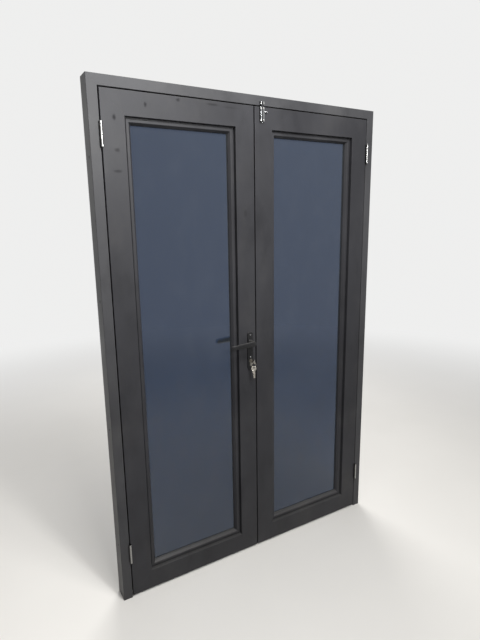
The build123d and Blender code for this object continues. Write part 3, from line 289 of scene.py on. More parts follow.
@dataclass
class Effects:
    """Shader node groups that several finishes share.

    Attributes:
        coat_grain: Fine orange peel of a sprayed or powdered coat.
        edges: Worn edges, and a normal that rounds them.
        dust: Dust that lies on ledges and in patches.
        brushing: Long fine lines from drawing or brushing.
        handling: Cloudy finger marks and faint wipes.
        spot: One soft oval mark.
    """

    coat_grain: bpy.types.NodeTree = field(init=False)
    edges: bpy.types.NodeTree = field(init=False)
    dust: bpy.types.NodeTree = field(init=False)
    brushing: bpy.types.NodeTree = field(init=False)
    handling: bpy.types.NodeTree = field(init=False)
    spot: bpy.types.NodeTree = field(init=False)

    def __post_init__(self) -> None:
        """Build the groups once."""
        self.coat_grain = self.build_coat_grain()
        self.edges = self.build_edges()
        self.dust = self.build_dust()
        self.brushing = self.build_brushing()
        self.handling = self.build_handling()
        self.spot = self.build_spot()

    def build_coat_grain(self) -> bpy.types.NodeTree:
        """Make the fine relief of a powder coat, with a slow drift of tone.

        Returns:
            The group's tree.
        """
        graph, given, made = new_group("coat grain", [("Scale", FLOAT, 900.0)],
                                       [("Height", FLOAT), ("Tone", FLOAT)])
        place = graph.place()
        scale = given.outputs["Scale"]
        coarse = graph.noise(place, scale, 2.0)
        fine = graph.noise(place, graph.math("MULTIPLY", scale, 3.1), 1.0)
        height = graph.math("ADD", graph.math("MULTIPLY", coarse, 0.7), graph.math("MULTIPLY", fine, 0.3))
        slow = graph.noise(graph.stretch(place, (1.0, 1.0, 0.55)), 3.2, 3.0, 0.55)
        graph.feed(made.inputs["Height"], height)
        graph.feed(made.inputs["Tone"], graph.remap(slow, 0.3, 0.7))
        return graph.tree

    def build_edges(self) -> bpy.types.NodeTree:
        """Make a mask of exposed edges and a normal that rounds them over.

        Returns:
            The group's tree.
        """
        graph, given, made = new_group("edges", [("Radius", FLOAT, 0.0006), ("Amount", FLOAT, 0.5)],
                                       [("Mask", FLOAT), ("Normal", VECTOR)])
        rounded = graph.add("ShaderNodeBevel", samples=4)
        graph.feed(rounded.inputs["Radius"], given.outputs["Radius"])
        flat = graph.add("ShaderNodeNewGeometry").outputs["Normal"]
        along = graph.vector("DOT_PRODUCT", rounded.outputs[0], flat).outputs["Value"]
        edge = graph.remap(along, 0.995, 0.86)
        patchy = graph.remap(graph.noise(graph.place(), 140.0, 3.0, 0.65), 0.42, 0.62)
        worn = graph.math("MULTIPLY", edge, patchy)
        worn = graph.math("MULTIPLY", worn, given.outputs["Amount"], clamp=True)
        graph.feed(made.inputs["Mask"], worn)
        graph.feed(made.inputs["Normal"], rounded.outputs[0])
        return graph.tree

    def build_dust(self) -> bpy.types.NodeTree:
        """Make a mask of dust: thick on ledges, thin in patches, and thicker towards the floor.

        Returns:
            The group's tree.
        """
        inputs = [("Ledges", FLOAT, 0.6), ("Patches", FLOAT, 0.2), ("Foot", FLOAT, 0.2)]
        graph, given, made = new_group("dust", inputs, [("Mask", FLOAT)])
        place = graph.place()
        upward = graph.part(graph.add("ShaderNodeNewGeometry").outputs["Normal"], "Z")
        speckle = graph.remap(graph.noise(place, 260.0, 4.0, 0.7), 0.35, 0.75)
        ledge = graph.math("MULTIPLY", graph.remap(upward, 0.35, 0.95), given.outputs["Ledges"])
        cloud = graph.noise(graph.stretch(place, (1.0, 1.0, 0.6)), 5.5, 4.0, 0.62)
        patch = graph.math("MULTIPLY", graph.remap(cloud, 0.48, 0.74), given.outputs["Patches"])
        low = graph.remap(graph.part(place, "Z"), 0.45, 0.0)
        foot = graph.math("MULTIPLY", low, given.outputs["Foot"])
        total = graph.math("ADD", graph.math("ADD", ledge, patch), foot)
        broken = graph.remap(speckle, 0.0, 1.0, 0.55, 1.15, smooth=False)
        graph.feed(made.inputs["Mask"], graph.math("MULTIPLY", total, broken, clamp=True))
        return graph.tree

    def build_brushing(self) -> bpy.types.NodeTree:
        """Make lines along one direction; Stretch is small along the lines.

        Returns:
            The group's tree.
        """
        graph, given, made = new_group("brushing", [("Stretch", VECTOR, 0.0), ("Scale", FLOAT, 900.0)],
                                       [("Height", FLOAT), ("Tone", FLOAT)])
        drawn = graph.stretch(graph.place(), given.outputs["Stretch"])
        lines = graph.noise(drawn, given.outputs["Scale"], 3.0, 0.6)
        graph.feed(made.inputs["Height"], lines)
        graph.feed(made.inputs["Tone"], graph.remap(lines, 0.3, 0.7))
        return graph.tree

    def build_handling(self) -> bpy.types.NodeTree:
        """Make cloudy marks from hands and cloths.

        Returns:
            The group's tree.
        """
        graph, given, made = new_group("handling", [("Scale", FLOAT, 30.0)], [("Mask", FLOAT)])
        place = graph.place()
        swirl = graph.add("ShaderNodeTexNoise")
        graph.feed(swirl.inputs["Vector"], place)
        swirl.inputs["Scale"].default_value = 9.0
        bend = graph.vector("SCALE", swirl.outputs["Color"])
        bend.inputs["Scale"].default_value = 0.05
        warp = graph.vector("ADD", graph.stretch(place, (1.0, 1.0, 0.5)), bend.outputs[0])
        cloud = graph.noise(warp.outputs[0], given.outputs["Scale"], 4.0, 0.6)
        graph.feed(made.inputs["Mask"], graph.remap(cloud, 0.45, 0.72))
        return graph.tree

    def build_spot(self) -> bpy.types.NodeTree:
        """Make one soft oval round Centre, with half sizes in Reach.

        Returns:
            The group's tree.
        """
        inputs = [("Centre", VECTOR, 0.0), ("Reach", VECTOR, 0.0)]
        graph, given, made = new_group("spot", inputs, [("Mask", FLOAT)])
        away = graph.vector("SUBTRACT", graph.place(), given.outputs["Centre"]).outputs[0]
        scaled = graph.vector("DIVIDE", away, given.outputs["Reach"]).outputs[0]
        distance = graph.vector("LENGTH", scaled).outputs["Value"]
        ragged = graph.math("MULTIPLY", graph.noise(graph.place(), 120.0, 3.0, 0.6), 0.7)
        mask = graph.remap(graph.math("ADD", distance, ragged), 1.35, 0.55)
        graph.feed(made.inputs["Mask"], mask)
        return graph.tree


# Finishes


@dataclass
class Shader:
    """A new material with its Principled shader.

    Attributes:
        name: The material's name.
        metallic: The shader's Metallic.
        settings: Constant values of the shader's own sockets, by socket name.
    """

    name: str
    metallic: float = 0.0
    settings: dict[str, object] = field(default_factory=dict)

    def start(self) -> tuple[bpy.types.Material, Graph, Node]:
        """Create the material.

        Returns:
            The material, its graph and the Principled node.
        """
        material = bpy.data.materials.new(self.name)
        material.use_nodes = True
        graph = Graph(material.node_tree)
        shader = graph.tree.nodes["Principled BSDF"]
        shader.inputs["Metallic"].default_value = self.metallic
        for label, value in self.settings.items():
            shader.inputs[label].default_value = value
        return material, graph, shader

    @staticmethod
    def relief(graph: Graph, shader: Node, height: object, distance: float, strength: float,
               normal: object = None) -> None:
        """Add a Bump node that feeds the shader's Normal.

        Args:
            graph: The material's graph.
            shader: The Principled node.
            height: Height socket.
            distance: Depth of the relief in metres.
            strength: The Bump node's strength.
            normal: Socket of the normal to start from, or None.
        """
        bump = graph.add("ShaderNodeBump")
        bump.inputs["Strength"].default_value = strength
        bump.inputs["Distance"].default_value = distance
        graph.feed(bump.inputs["Height"], height)
        if normal is not None:
            graph.feed(bump.inputs["Normal"], normal)
        graph.feed(shader.inputs["Normal"], bump.outputs[0])


@dataclass(frozen=True)
class Smudge:
    """One hand or dust mark on a leaf's room side.

    Attributes:
        x: Centre across the door.
        z: Height of its centre.
        half_width: Half its width.
        half_height: Half its height.
        darkening: Share of the dark mark's colour at its middle.
    """

    x: float
    z: float
    half_width: float
    half_height: float
    darkening: float


@dataclass(frozen=True)
class PowderCoat:
    """Graphite powder coat on aluminium profiles.

    Attributes:
        name: Material name.
        light: Lighter tone of the coat.
        dark: Darker tone of the coat.
        dust: Colour of the dust on it.
        mark: Colour of hand marks and smudges.
        worn: Colour of worn edges.
        roughness: Middle roughness.
        smudges: Marks on the surface.
        smudge_y: The face that carries them, through the door.
        smudge_depth: How far through the door a smudge reaches.
    """

    name: str
    light: Colour = (0.0355, 0.0355, 0.0390)
    dark: Colour = (0.0255, 0.0255, 0.0283)
    dust: Colour = (0.26, 0.245, 0.22)
    mark: Colour = (0.006, 0.006, 0.0065)
    worn: Colour = (0.16, 0.16, 0.165)
    roughness: float = 0.42
    smudges: tuple[Smudge, ...] = ()
    smudge_y: float = -0.0225
    smudge_depth: float = 0.02

    def material(self, effects: Effects) -> bpy.types.Material:
        """Build the coat's material.

        Args:
            effects: Shared node groups.

        Returns:
            The material.
        """
        material, graph, shader = Shader(self.name, 0.0, {"Specular IOR Level": 0.15}).start()
        grain = graph.group(effects.coat_grain, Scale=950.0)
        edges = graph.group(effects.edges, Radius=0.0007, Amount=0.35)
        dust = graph.group(effects.dust, Ledges=0.10, Patches=0.05, Foot=0.03)
        hands = graph.group(effects.handling, Scale=11.0)
        colour = graph.blend(grain.outputs["Tone"], self.dark, self.light)
        colour = graph.blend(graph.math("MULTIPLY", hands.outputs["Mask"], 0.22), colour, self.mark)
        marked = 0.0
        for smudge in self.smudges:
            spot = graph.group(effects.spot, Centre=(smudge.x, self.smudge_y, smudge.z),
                               Reach=(smudge.half_width, self.smudge_depth, smudge.half_height))
            share = graph.math("MULTIPLY", spot.outputs["Mask"], smudge.darkening)
            colour = graph.blend(share, colour, self.mark)
            marked = graph.math("MAXIMUM", marked, share)
        colour = graph.blend(edges.outputs["Mask"], colour, self.worn)
        colour = graph.blend(dust.outputs["Mask"], colour, self.dust)
        graph.feed(shader.inputs["Base Color"], colour)
        rough = graph.remap(grain.outputs["Tone"], 0.0, 1.0, self.roughness - 0.05, self.roughness + 0.05)
        rough = graph.math("ADD", rough, graph.math("MULTIPLY", dust.outputs["Mask"], 0.35))
        rough = graph.math("ADD", rough, graph.math("MULTIPLY", marked, 0.45))
        polish = graph.math("MULTIPLY", hands.outputs["Mask"], 0.06)
        rough = graph.math("SUBTRACT", rough, polish, clamp=True)
        graph.feed(shader.inputs["Roughness"], rough)
        Shader.relief(graph, shader, grain.outputs["Height"], 0.00005, 0.45, edges.outputs["Normal"])
        return material


@dataclass(frozen=True)
class DoorGlass:
    """Laminated glass with a grey-blue cast, a haze of fine dust and wiping marks.

    Attributes:
        name: Material name.
        tint: Colour of what passes through.
        film: Colour of the dust film, which thickens towards the floor and there also paints the floor's
            reflection on the lower panes.
        haze: Share of light that the fine dust scatters back.
        haze_tint: Colour of that light.
    """

    name: str = "door glass"
    tint: Colour = (0.006, 0.020, 0.058)
    film: Colour = (0.12, 0.14, 0.175)
    haze: float = 0.07
    haze_tint: Colour = (0.72, 0.84, 1.0)

    def material(self, effects: Effects) -> bpy.types.Material:
        """Build the glass's material.

        Args:
            effects: Shared node groups.

        Returns:
            The material.
        """
        settings = {
            "IOR": 1.5, "Transmission Weight": 1.0, "Sheen Weight": self.haze, "Sheen Roughness": 1.0,
            "Sheen Tint": (*self.haze_tint, 1.0),
        }
        material, graph, shader = Shader(self.name, 0.0, settings).start()
        # Foot thickens the film towards the floor: partly dust, partly a painted reflection of the floor
        # that lightens the panes low down.
        dust = graph.group(effects.dust, Ledges=0.3, Patches=0.16, Foot=0.25)
        hands = graph.group(effects.handling, Scale=16.0)
        film = graph.math("ADD", graph.math("MULTIPLY", hands.outputs["Mask"], 0.06),
                          graph.math("MULTIPLY", dust.outputs["Mask"], 0.45), clamp=True)
        graph.feed(shader.inputs["Base Color"], graph.blend(film, self.tint, self.film))
        graph.feed(shader.inputs["Roughness"], graph.remap(film, 0.0, 0.6, 0.012, 0.16))
        waves = graph.noise(graph.stretch(graph.place(), (1.0, 0.2, 0.35)), 7.0, 1.0)
        Shader.relief(graph, shader, waves, 0.0004, 0.25)
        return material


@dataclass(frozen=True)
class Rubber:
    """Black extruded rubber, a little chalky with dust.

    Attributes:
        name: Material name.
        colour: Darker tone of the rubber.
        chalky: Lighter tone of the rubber.
        dust: Colour of the dust on it.
    """

    name: str
    colour: Colour = (0.012, 0.012, 0.012)
    chalky: Colour = (0.03, 0.03, 0.03)
    dust: Colour = (0.16, 0.155, 0.145)

    def material(self, effects: Effects) -> bpy.types.Material:
        """Build the rubber's material.

        Args:
            effects: Shared node groups.

        Returns:
            The material.
        """
        material, graph, shader = Shader(self.name, 0.0, {"Specular IOR Level": 0.35}).start()
        grain = graph.group(effects.coat_grain, Scale=1800.0)
        dust = graph.group(effects.dust, Ledges=0.5, Patches=0.18, Foot=0.15)
        colour = graph.blend(graph.math("MULTIPLY", grain.outputs["Tone"], 0.5), self.colour, self.chalky)
        colour = graph.blend(dust.outputs["Mask"], colour, self.dust)
        graph.feed(shader.inputs["Base Color"], colour)
        graph.feed(shader.inputs["Roughness"], graph.remap(grain.outputs["Tone"], 0.0, 1.0, 0.62, 0.78))
        Shader.relief(graph, shader, grain.outputs["Height"], 0.00004, 0.5)
        return material


@dataclass(frozen=True)
class PlatedMetal:
    """Bare or plated metal with brushing, handling marks and soft edges, and painted shade on its side
    faces where sides is below 1.

    Attributes:
        name: Material name.
        colour: Colour of the clean metal.
        dull: Colour where it has dulled.
        roughness: Roughness where it is cleanest.
        spread: Added roughness where it is handled or dull.
        stretch: Scale of the brushing along X, Y and Z; small along its lines.
        relief: Strength of the brushing's relief.
        sides: Share of the colour that is left on faces at right angles to the leaf; below 1 it paints
            shade on those side faces.
    """

    name: str
    colour: Colour
    dull: Colour
    roughness: float = 0.25
    spread: float = 0.2
    stretch: Point = (1.0, 1.0, 0.04)
    relief: float = 0.15
    sides: float = 1.0

    def material(self, effects: Effects) -> bpy.types.Material:
        """Build the metal's material.

        Args:
            effects: Shared node groups.

        Returns:
            The material.
        """
        material, graph, shader = Shader(self.name, 1.0).start()
        lines = graph.group(effects.brushing, Stretch=self.stretch, Scale=1400.0)
        hands = graph.group(effects.handling, Scale=60.0)
        edges = graph.group(effects.edges, Radius=0.0003, Amount=0.6)
        dulled = graph.math("MULTIPLY", hands.outputs["Mask"], 0.7)
        colour = graph.blend(dulled, self.colour, self.dull)
        colour = graph.blend(graph.math("MULTIPLY", lines.outputs["Tone"], 0.18), colour, self.dull)
        colour = graph.blend(graph.math("MULTIPLY", edges.outputs["Mask"], 0.5), colour, self.colour)
        # Painted shade: faces at right angles to the leaf turn to a darkened copy of the dull colour.
        if self.sides < 1.0:
            facing = graph.part(graph.add("ShaderNodeTexCoord").outputs["Normal"], "Y")
            turned = graph.remap(graph.math("ABSOLUTE", facing), 0.97, 0.6)
            colour = graph.blend(turned, colour, tuple(part * self.sides for part in self.dull))
        graph.feed(shader.inputs["Base Color"], colour)
        rough = graph.math("MULTIPLY", hands.outputs["Mask"], self.spread)
        rough = graph.math("ADD", rough, self.roughness)
        rough = graph.math("ADD", rough, graph.math("MULTIPLY", lines.outputs["Tone"], 0.06), clamp=True)
        graph.feed(shader.inputs["Roughness"], rough)
        Shader.relief(graph, shader, lines.outputs["Height"], 0.00002, self.relief,
                      edges.outputs["Normal"])
        return material


@dataclass(frozen=True)
class SatinBlack:
    """Satin black lacquer on the levers and their plates, rubbed at the edges.

    Attributes:
        name: Material name.
        colour: Darker tone of the lacquer.
        lighter: Lighter tone of the lacquer.
        rubbed: Colour of rubbed edges.
        dust: Colour of the dust on it.
        roughness: Roughness where no hand has polished it.
    """

    name: str = "satin black lacquer"
    colour: Colour = (0.008, 0.008, 0.009)
    lighter: Colour = (0.016, 0.016, 0.017)
    rubbed: Colour = (0.20, 0.195, 0.185)
    dust: Colour = (0.22, 0.21, 0.2)
    roughness: float = 0.36

    def material(self, effects: Effects) -> bpy.types.Material:
        """Build the lacquer's material.

        Args:
            effects: Shared node groups.

        Returns:
            The material.
        """
        settings = {"Specular IOR Level": 0.18, "Coat Weight": 0.08, "Coat Roughness": 0.15}
        material, graph, shader = Shader(self.name, 0.0, settings).start()
        grain = graph.group(effects.coat_grain, Scale=1600.0)
        edges = graph.group(effects.edges, Radius=0.0005, Amount=0.55)
        hands = graph.group(effects.handling, Scale=55.0)
        dust = graph.group(effects.dust, Ledges=0.22, Patches=0.04, Foot=0.0)
        colour = graph.blend(graph.math("MULTIPLY", grain.outputs["Tone"], 0.4), self.colour, self.lighter)
        colour = graph.blend(edges.outputs["Mask"], colour, self.rubbed)
        colour = graph.blend(dust.outputs["Mask"], colour, self.dust)
        graph.feed(shader.inputs["Base Color"], colour)
        polish = graph.math("MULTIPLY", hands.outputs["Mask"], 0.12)
        rough = graph.math("SUBTRACT", self.roughness, polish)
        graph.feed(shader.inputs["Roughness"], graph.math("ADD", rough, dust.outputs["Mask"], clamp=True))
        Shader.relief(graph, shader, grain.outputs["Height"], 0.00003, 0.3, edges.outputs["Normal"])
        return material


@dataclass(frozen=True)
class MouldedPlastic:
    """Moulded black plastic of the glass's setting blocks.

    Attributes:
        name: Material name.
        colour: Darker tone of the plastic.
        lighter: Lighter tone of the plastic.
    """

    name: str = "moulded plastic"
    colour: Colour = (0.03, 0.03, 0.031)
    lighter: Colour = (0.05, 0.05, 0.05)

    def material(self, effects: Effects) -> bpy.types.Material:
        """Build the plastic's material.

        Args:
            effects: Shared node groups.

        Returns:
            The material.
        """
        material, graph, shader = Shader(self.name, 0.0).start()
        grain = graph.group(effects.coat_grain, Scale=1200.0)
        colour = graph.blend(grain.outputs["Tone"], self.colour, self.lighter)
        graph.feed(shader.inputs["Base Color"], colour)
        graph.feed(shader.inputs["Roughness"], graph.remap(grain.outputs["Tone"], 0.0, 1.0, 0.45, 0.6))
        Shader.relief(graph, shader, grain.outputs["Height"], 0.00006, 0.6)
        return material


@dataclass
class FinishBook:
    """All finishes of the door, each built once.

    Attributes:
        effects: Shared node groups.
        made: Materials by the name of the record's slot or of the piece's own finish.
    """

    effects: Effects
    made: dict[str, bpy.types.Material] = field(default_factory=dict)

    def build(self) -> None:
        """Build every material."""
        smudges = (
            Smudge(-0.577, 1.914, 0.009, 0.014, 0.60), Smudge(-0.461, 1.967, 0.008, 0.013, 0.60),
            Smudge(-0.333, 1.996, 0.012, 0.009, 0.60), Smudge(-0.190, 1.994, 0.038, 0.006, 0.60),
            Smudge(-0.112, 1.990, 0.052, 0.005, 0.40), Smudge(-0.572, 1.806, 0.013, 0.010, 0.40),
            Smudge(-0.574, 1.734, 0.020, 0.008, 0.38), Smudge(-0.047, 1.584, 0.013, 0.022, 0.40),
        )
        finishes = {
            # Painted light: the frame wears a lighter copy of the leaves' coat, for the lighter tone that
            # the head shows.
            "frame_profile": PowderCoat("lit frame coat", (0.056, 0.056, 0.059), (0.040, 0.040, 0.0425)),
            "left_leaf_profile": PowderCoat("left leaf coat", smudges=smudges),
            "right_leaf_profile": PowderCoat("right leaf coat"),
            "glass": DoorGlass(),
            "rubber": Rubber("black rubber"),
            "bare_aluminium": PlatedMetal("mill aluminium", (0.62, 0.63, 0.64), (0.45, 0.45, 0.46),
                                          roughness=0.38, spread=0.15),
            "block_plastic": MouldedPlastic(),
            # The hinges' sides value paints shade on the barrels' side faces, so each barrel shows a dark
            # half beside a bright strip.
            "hinge_steel": PlatedMetal("zinc plated steel", (0.32, 0.32, 0.315), (0.22, 0.217, 0.21),
                                       roughness=0.16, spread=0.12, sides=0.22),
            "screw_steel": PlatedMetal("screw steel", (0.66, 0.65, 0.61), (0.42, 0.40, 0.37),
                                       roughness=0.30, spread=0.2),
            "lock_steel": PlatedMetal("satin lock steel", (0.60, 0.60, 0.59), (0.44, 0.43, 0.42),
                                      roughness=0.28, spread=0.16),
            "black_satin": SatinBlack(),
            "black_steel": PlatedMetal("blackened screw steel", (0.27, 0.27, 0.27), (0.10, 0.10, 0.10),
                                       roughness=0.18, spread=0.15),
            "cylinder_nickel": PlatedMetal("satin nickel", (0.20, 0.19, 0.17), (0.12, 0.115, 0.105),
                                           roughness=0.30, spread=0.14, stretch=(0.04, 1.0, 1.0)),
            "key_nickel": PlatedMetal("key nickel", (0.58, 0.55, 0.50), (0.17, 0.16, 0.14),
                                      roughness=0.11, spread=0.14, stretch=(1.0, 1.0, 0.1)),
            # The bolt's sides value paints shade on the side faces of its guide and keeper, leaving thin
            # bright lines on the faces towards the room.
            "bolt_chrome": PlatedMetal("polished chrome", (0.46, 0.47, 0.48), (0.30, 0.31, 0.32),
                                       roughness=0.07, spread=0.12, relief=0.04, sides=0.12),
            # The rod is near black, which makes the dark line between the bolt's bright strips.
            "bolt_rod_steel": PlatedMetal("near-black rod steel", (0.02, 0.02, 0.021), (0.01, 0.01, 0.011),
                                          roughness=0.30, spread=0.15),
            # Painted shade: a darker copy of the bolt's chrome, so the knob reads dark round a thin
            # highlight.
            "knob_chrome": PlatedMetal("shaded knob chrome", (0.24, 0.24, 0.245), (0.08, 0.08, 0.08),
                                       roughness=0.12, spread=0.12),
        }
        for slot, finish in finishes.items():
            self.made[slot] = finish.material(self.effects)

    def cover(self, piece: Piece, finish: str) -> None:
        """Make a finish the only material of a piece.

        Args:
            piece: The piece.
            finish: Key of the finish.
        """
        piece.data.materials.clear()
        piece.data.materials.append(self.made[finish])

    def dress(self, node: str, slot: str) -> None:
        """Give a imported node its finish.

        Args:
            node: The node's name.
            slot: Key of the finish.
        """
        self.cover(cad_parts[node], slot)
        log.info("%s wears %s", node, self.made[slot].name)


# Mesh making


def link_mesh(name: str, mesh: bpy.types.Mesh) -> Piece:
    """Make an object of a mesh in the scene.

    Args:
        name: The object's name.
        mesh: Its mesh.

    Returns:
        The object.
    """
    piece = bpy.data.objects.new(name, mesh)
    bpy.context.scene.collection.objects.link(piece)
    return piece


def loft(name: str, rings: Sequence[Sequence[Vector]], closed: bool = False) -> Piece:
    """Join rings of equal count into a skin.

    Args:
        name: The object's name.
        rings: Rings of points in order.
        closed: Whether the last ring joins the first; otherwise both ends are capped.

    Returns:
        The object.
    """
    mesh = bpy.data.meshes.new(name)
    work = bmesh.new()
    rows = [[work.verts.new(point) for point in ring] for ring in rings]
    count = len(rows[0])
    pairs = list(zip(rows, rows[1:])) + ([(rows[-1], rows[0])] if closed else [])
    for low, high in pairs:
        for i in range(count):
            j = (i + 1) % count
            work.faces.new((low[i], low[j], high[j], high[i]))
    if not closed:
        work.faces.new(list(reversed(rows[0])))
        work.faces.new(rows[-1])
    bmesh.ops.recalc_face_normals(work, faces=work.faces)
    work.to_mesh(mesh)
    work.free()
    return link_mesh(name, mesh)


def circle(count: int) -> list[Pair]:
    """Give the cosine and the sine at even steps round a circle."""
    turns = [2 * math.pi * i / count for i in range(count)]
    return [(math.cos(turn), math.sin(turn)) for turn in turns]


def between(start: float, end: float, share: float) -> float:
    """Give the value at a share of the way from a start to an end."""
    return start + (end - start) * share


def ease(share: float) -> float:
    """Let a share of the way start and end gently."""
    return share * share * (3 - 2 * share)


def lathe(name: str, profile: Sequence[Pair], place: Matrix, count: int = 40) -> Piece:
    """Turn a profile about an axis.

    Args:
        name: The object's name.
        profile: Distance along the axis and radius at each point.
        place: Matrix that takes the axis, local Z, to its place.
        count: Points round the axis.

    Returns:
        The object.
    """
    rings = [[place @ Vector((radius * c, radius * s, along)) for c, s in circle(count)]
             for along, radius in profile]
    return loft(name, rings)


def smooth(piece: Piece, angle_deg: float) -> None:
    """Shade a piece smooth up to an angle between its faces.

    Args:
        piece: The piece.
        angle_deg: Largest angle that is still shaded smooth.
    """
    piece.data.shade_smooth()
    piece.data.set_sharp_from_angle(angle=math.radians(angle_deg))


def shown_mesh(piece: Piece) -> bpy.types.Mesh:
    """Copy the mesh that a piece or a curve shows, with its modifiers.

    Args:
        piece: The piece.

    Returns:
        The mesh.
    """
    graph = bpy.context.evaluated_depsgraph_get()
    return bpy.data.meshes.new_from_object(piece.evaluated_get(graph))


def apply_modifiers(piece: Piece) -> None:
    """Make a piece's modifiers final.

    Args:
        piece: The piece.
    """
    mesh = shown_mesh(piece)
    piece.modifiers.clear()
    piece.data = mesh


def carve(piece: Piece, cutters: Sequence[Piece], weld_distance: float = 0.000005) -> None:
    """Cut tools out of a piece and remove them.

    Args:
        piece: The piece.
        cutters: Closed tools.
        weld_distance: Points of the piece that lie closer than this are joined first.
    """
    weld = piece.modifiers.new("weld", "WELD")
    weld.merge_threshold = weld_distance
    for cutter in cutters:
        cut = piece.modifiers.new("cut", "BOOLEAN")
        cut.operation = "DIFFERENCE"
        cut.solver = "EXACT"
        cut.object = cutter
    bpy.context.view_layer.update()
    apply_modifiers(piece)
    for cutter in cutters:
        bpy.data.objects.remove(cutter)


def gather(name: str, parts: Sequence[tuple[Piece, Matrix]]) -> Piece:
    """Make one piece of several placed copies.

    Args:
        name: The piece's name.
        parts: Each original with the place of its copy; the originals stay.

    Returns:
        The piece.
    """
    work = bmesh.new()
    for original, place in parts:
        copy = original.data.copy()
        copy.transform(place)
        work.from_mesh(copy)
        bpy.data.meshes.remove(copy)
    mesh = bpy.data.meshes.new(name)
    work.to_mesh(mesh)
    work.free()
    return link_mesh(name, mesh)


def finish_piece(piece: Piece, body: Body, slot: str, book: FinishBook, *nodes: str,
                 finish: str = "") -> None:
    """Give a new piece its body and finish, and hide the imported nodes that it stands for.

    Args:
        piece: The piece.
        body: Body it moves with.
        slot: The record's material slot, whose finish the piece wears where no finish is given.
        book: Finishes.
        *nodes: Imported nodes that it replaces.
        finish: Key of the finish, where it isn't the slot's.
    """
    book.cover(piece, finish or slot)
    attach(piece, body.value)
    if nodes:
        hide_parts(*nodes)
    log.info("%s built for %s", piece.name, body.value)


# Sub-assemblies


class Drive(Enum):
    """Shape of the hole that takes the screwdriver."""

    CROSS = "cross"
    SLOT = "slot"


class Head(Enum):
    """Shape of a screw's head."""

    PAN = "pan"
    FLUSH = "flush"
    COUNTERSUNK = "countersunk"


@dataclass(frozen=True)
class Screw:
    """One kind of screw; its own Z runs out of the head, and the head's top is at the origin.

    Attributes:
        head: Shape of the head.
        drive: Shape of the recess.
        head_radius: Radius of the head.
        head_height: Height of the head.
        shank_radius: Outer radius of the thread.
        length: Length from the head's top to the tip.
        pitch: Distance between thread crests.
    """

    head: Head
    drive: Drive
    head_radius: float
    head_height: float
    shank_radius: float
    length: float
    pitch: float = 0.0009

    def profile(self) -> list[Pair]:
        """Trace the screw from its tip to the top of its head, along its axis and out from it.

        Returns:
            Distance along the axis and radius at each point.
        """
        shank, core = self.shank_radius, 0.8 * self.shank_radius
        top, height = self.head_radius, self.head_height
        point = -self.length + 1.1 * shank
        points = [(-self.length, 0.25 * shank), (point, core)]
        z = point + self.pitch / 2
        while z < -height - self.pitch:
            points += [(z, shank), (z + self.pitch / 2, core)]
            z += self.pitch
        points.append((-height, shank))
        if self.head is Head.PAN:
            points += [(-height, top), (-0.45 * height, top), (-0.16 * height, 0.9 * top),
                       (0.0, 0.66 * top)]
        elif self.head is Head.FLUSH:
            points += [(-height, top), (-0.0003, top), (0.0, top - 0.0003)]
        else:
            points += [(-0.00025, top), (0.0, top - 0.0001)]
        return points

    def recess(self) -> list[Piece]:
        """Make the tools that cut the recess.

        Returns:
            The tools.
        """
        radius = self.head_radius
        if self.drive is Drive.SLOT:
            long, wide, turns = 1.1 * radius, 0.13 * radius, (0.0,)
            depth, bottom = 0.28 * radius, 1.0
        else:
            long, wide, turns = 0.56 * radius, 0.12 * radius, (0.0, math.pi / 2)
            depth, bottom = 0.42 * radius, 0.45
        tools = []
        for turn in turns:
            spin = Matrix.Rotation(turn, 4, "Z")
            rings = []
            for z, size in ((0.0004, 1.0), (0.0, 1.0), (-depth, bottom)):
                x = long * size
                corners = ((-x, -wide), (x, -wide), (x, wide), (-x, wide))
                rings.append([spin @ Vector((*corner, z)) for corner in corners])
            tools.append(loft("recess_tool", rings))
        return tools

    def build(self) -> Piece:
        """Build the screw at the origin.

        Returns:
            The screw.
        """
        screw = lathe("screw_blank", self.profile(), Matrix(), 32)
        carve(screw, self.recess())
        return screw


@dataclass
class ScrewSet:
    """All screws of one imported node.

    Attributes:
        name: Name of the piece.
        node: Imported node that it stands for.
        body: Body that it moves with.
        slot: The record's material slot.
        places: Kind of screw, place of its head's top and direction out of the head.
        finish: Key of the finish, where it isn't the slot's.
    """

    name: str
    node: str
    body: Body
    slot: str
    places: Sequence[tuple[Screw, Point, Point]]
    finish: str = ""

    def build(self, book: FinishBook, seed: int) -> None:
        """Build the screws, each turned as it came tight.

        Args:
            book: Finishes.
            seed: Seed of the turns.
        """
        chance = random.Random(seed)
        blanks = {kind: kind.build() for kind in dict.fromkeys(kind for kind, _, _ in self.places)}
        parts = []
        for kind, top, out in self.places:
            turn = Matrix.Rotation(chance.uniform(0.0, math.pi), 4, "Z")
            aim = Vector(out).to_track_quat("Z", "Y").to_matrix().to_4x4()
            parts.append((blanks[kind], Matrix.Translation(top) @ aim @ turn))
        piece = gather(self.name, parts)
        for blank in blanks.values():
            bpy.data.objects.remove(blank)
        smooth(piece, 32.0)
        finish_piece(piece, self.body, self.slot, book, self.node, finish=self.finish)


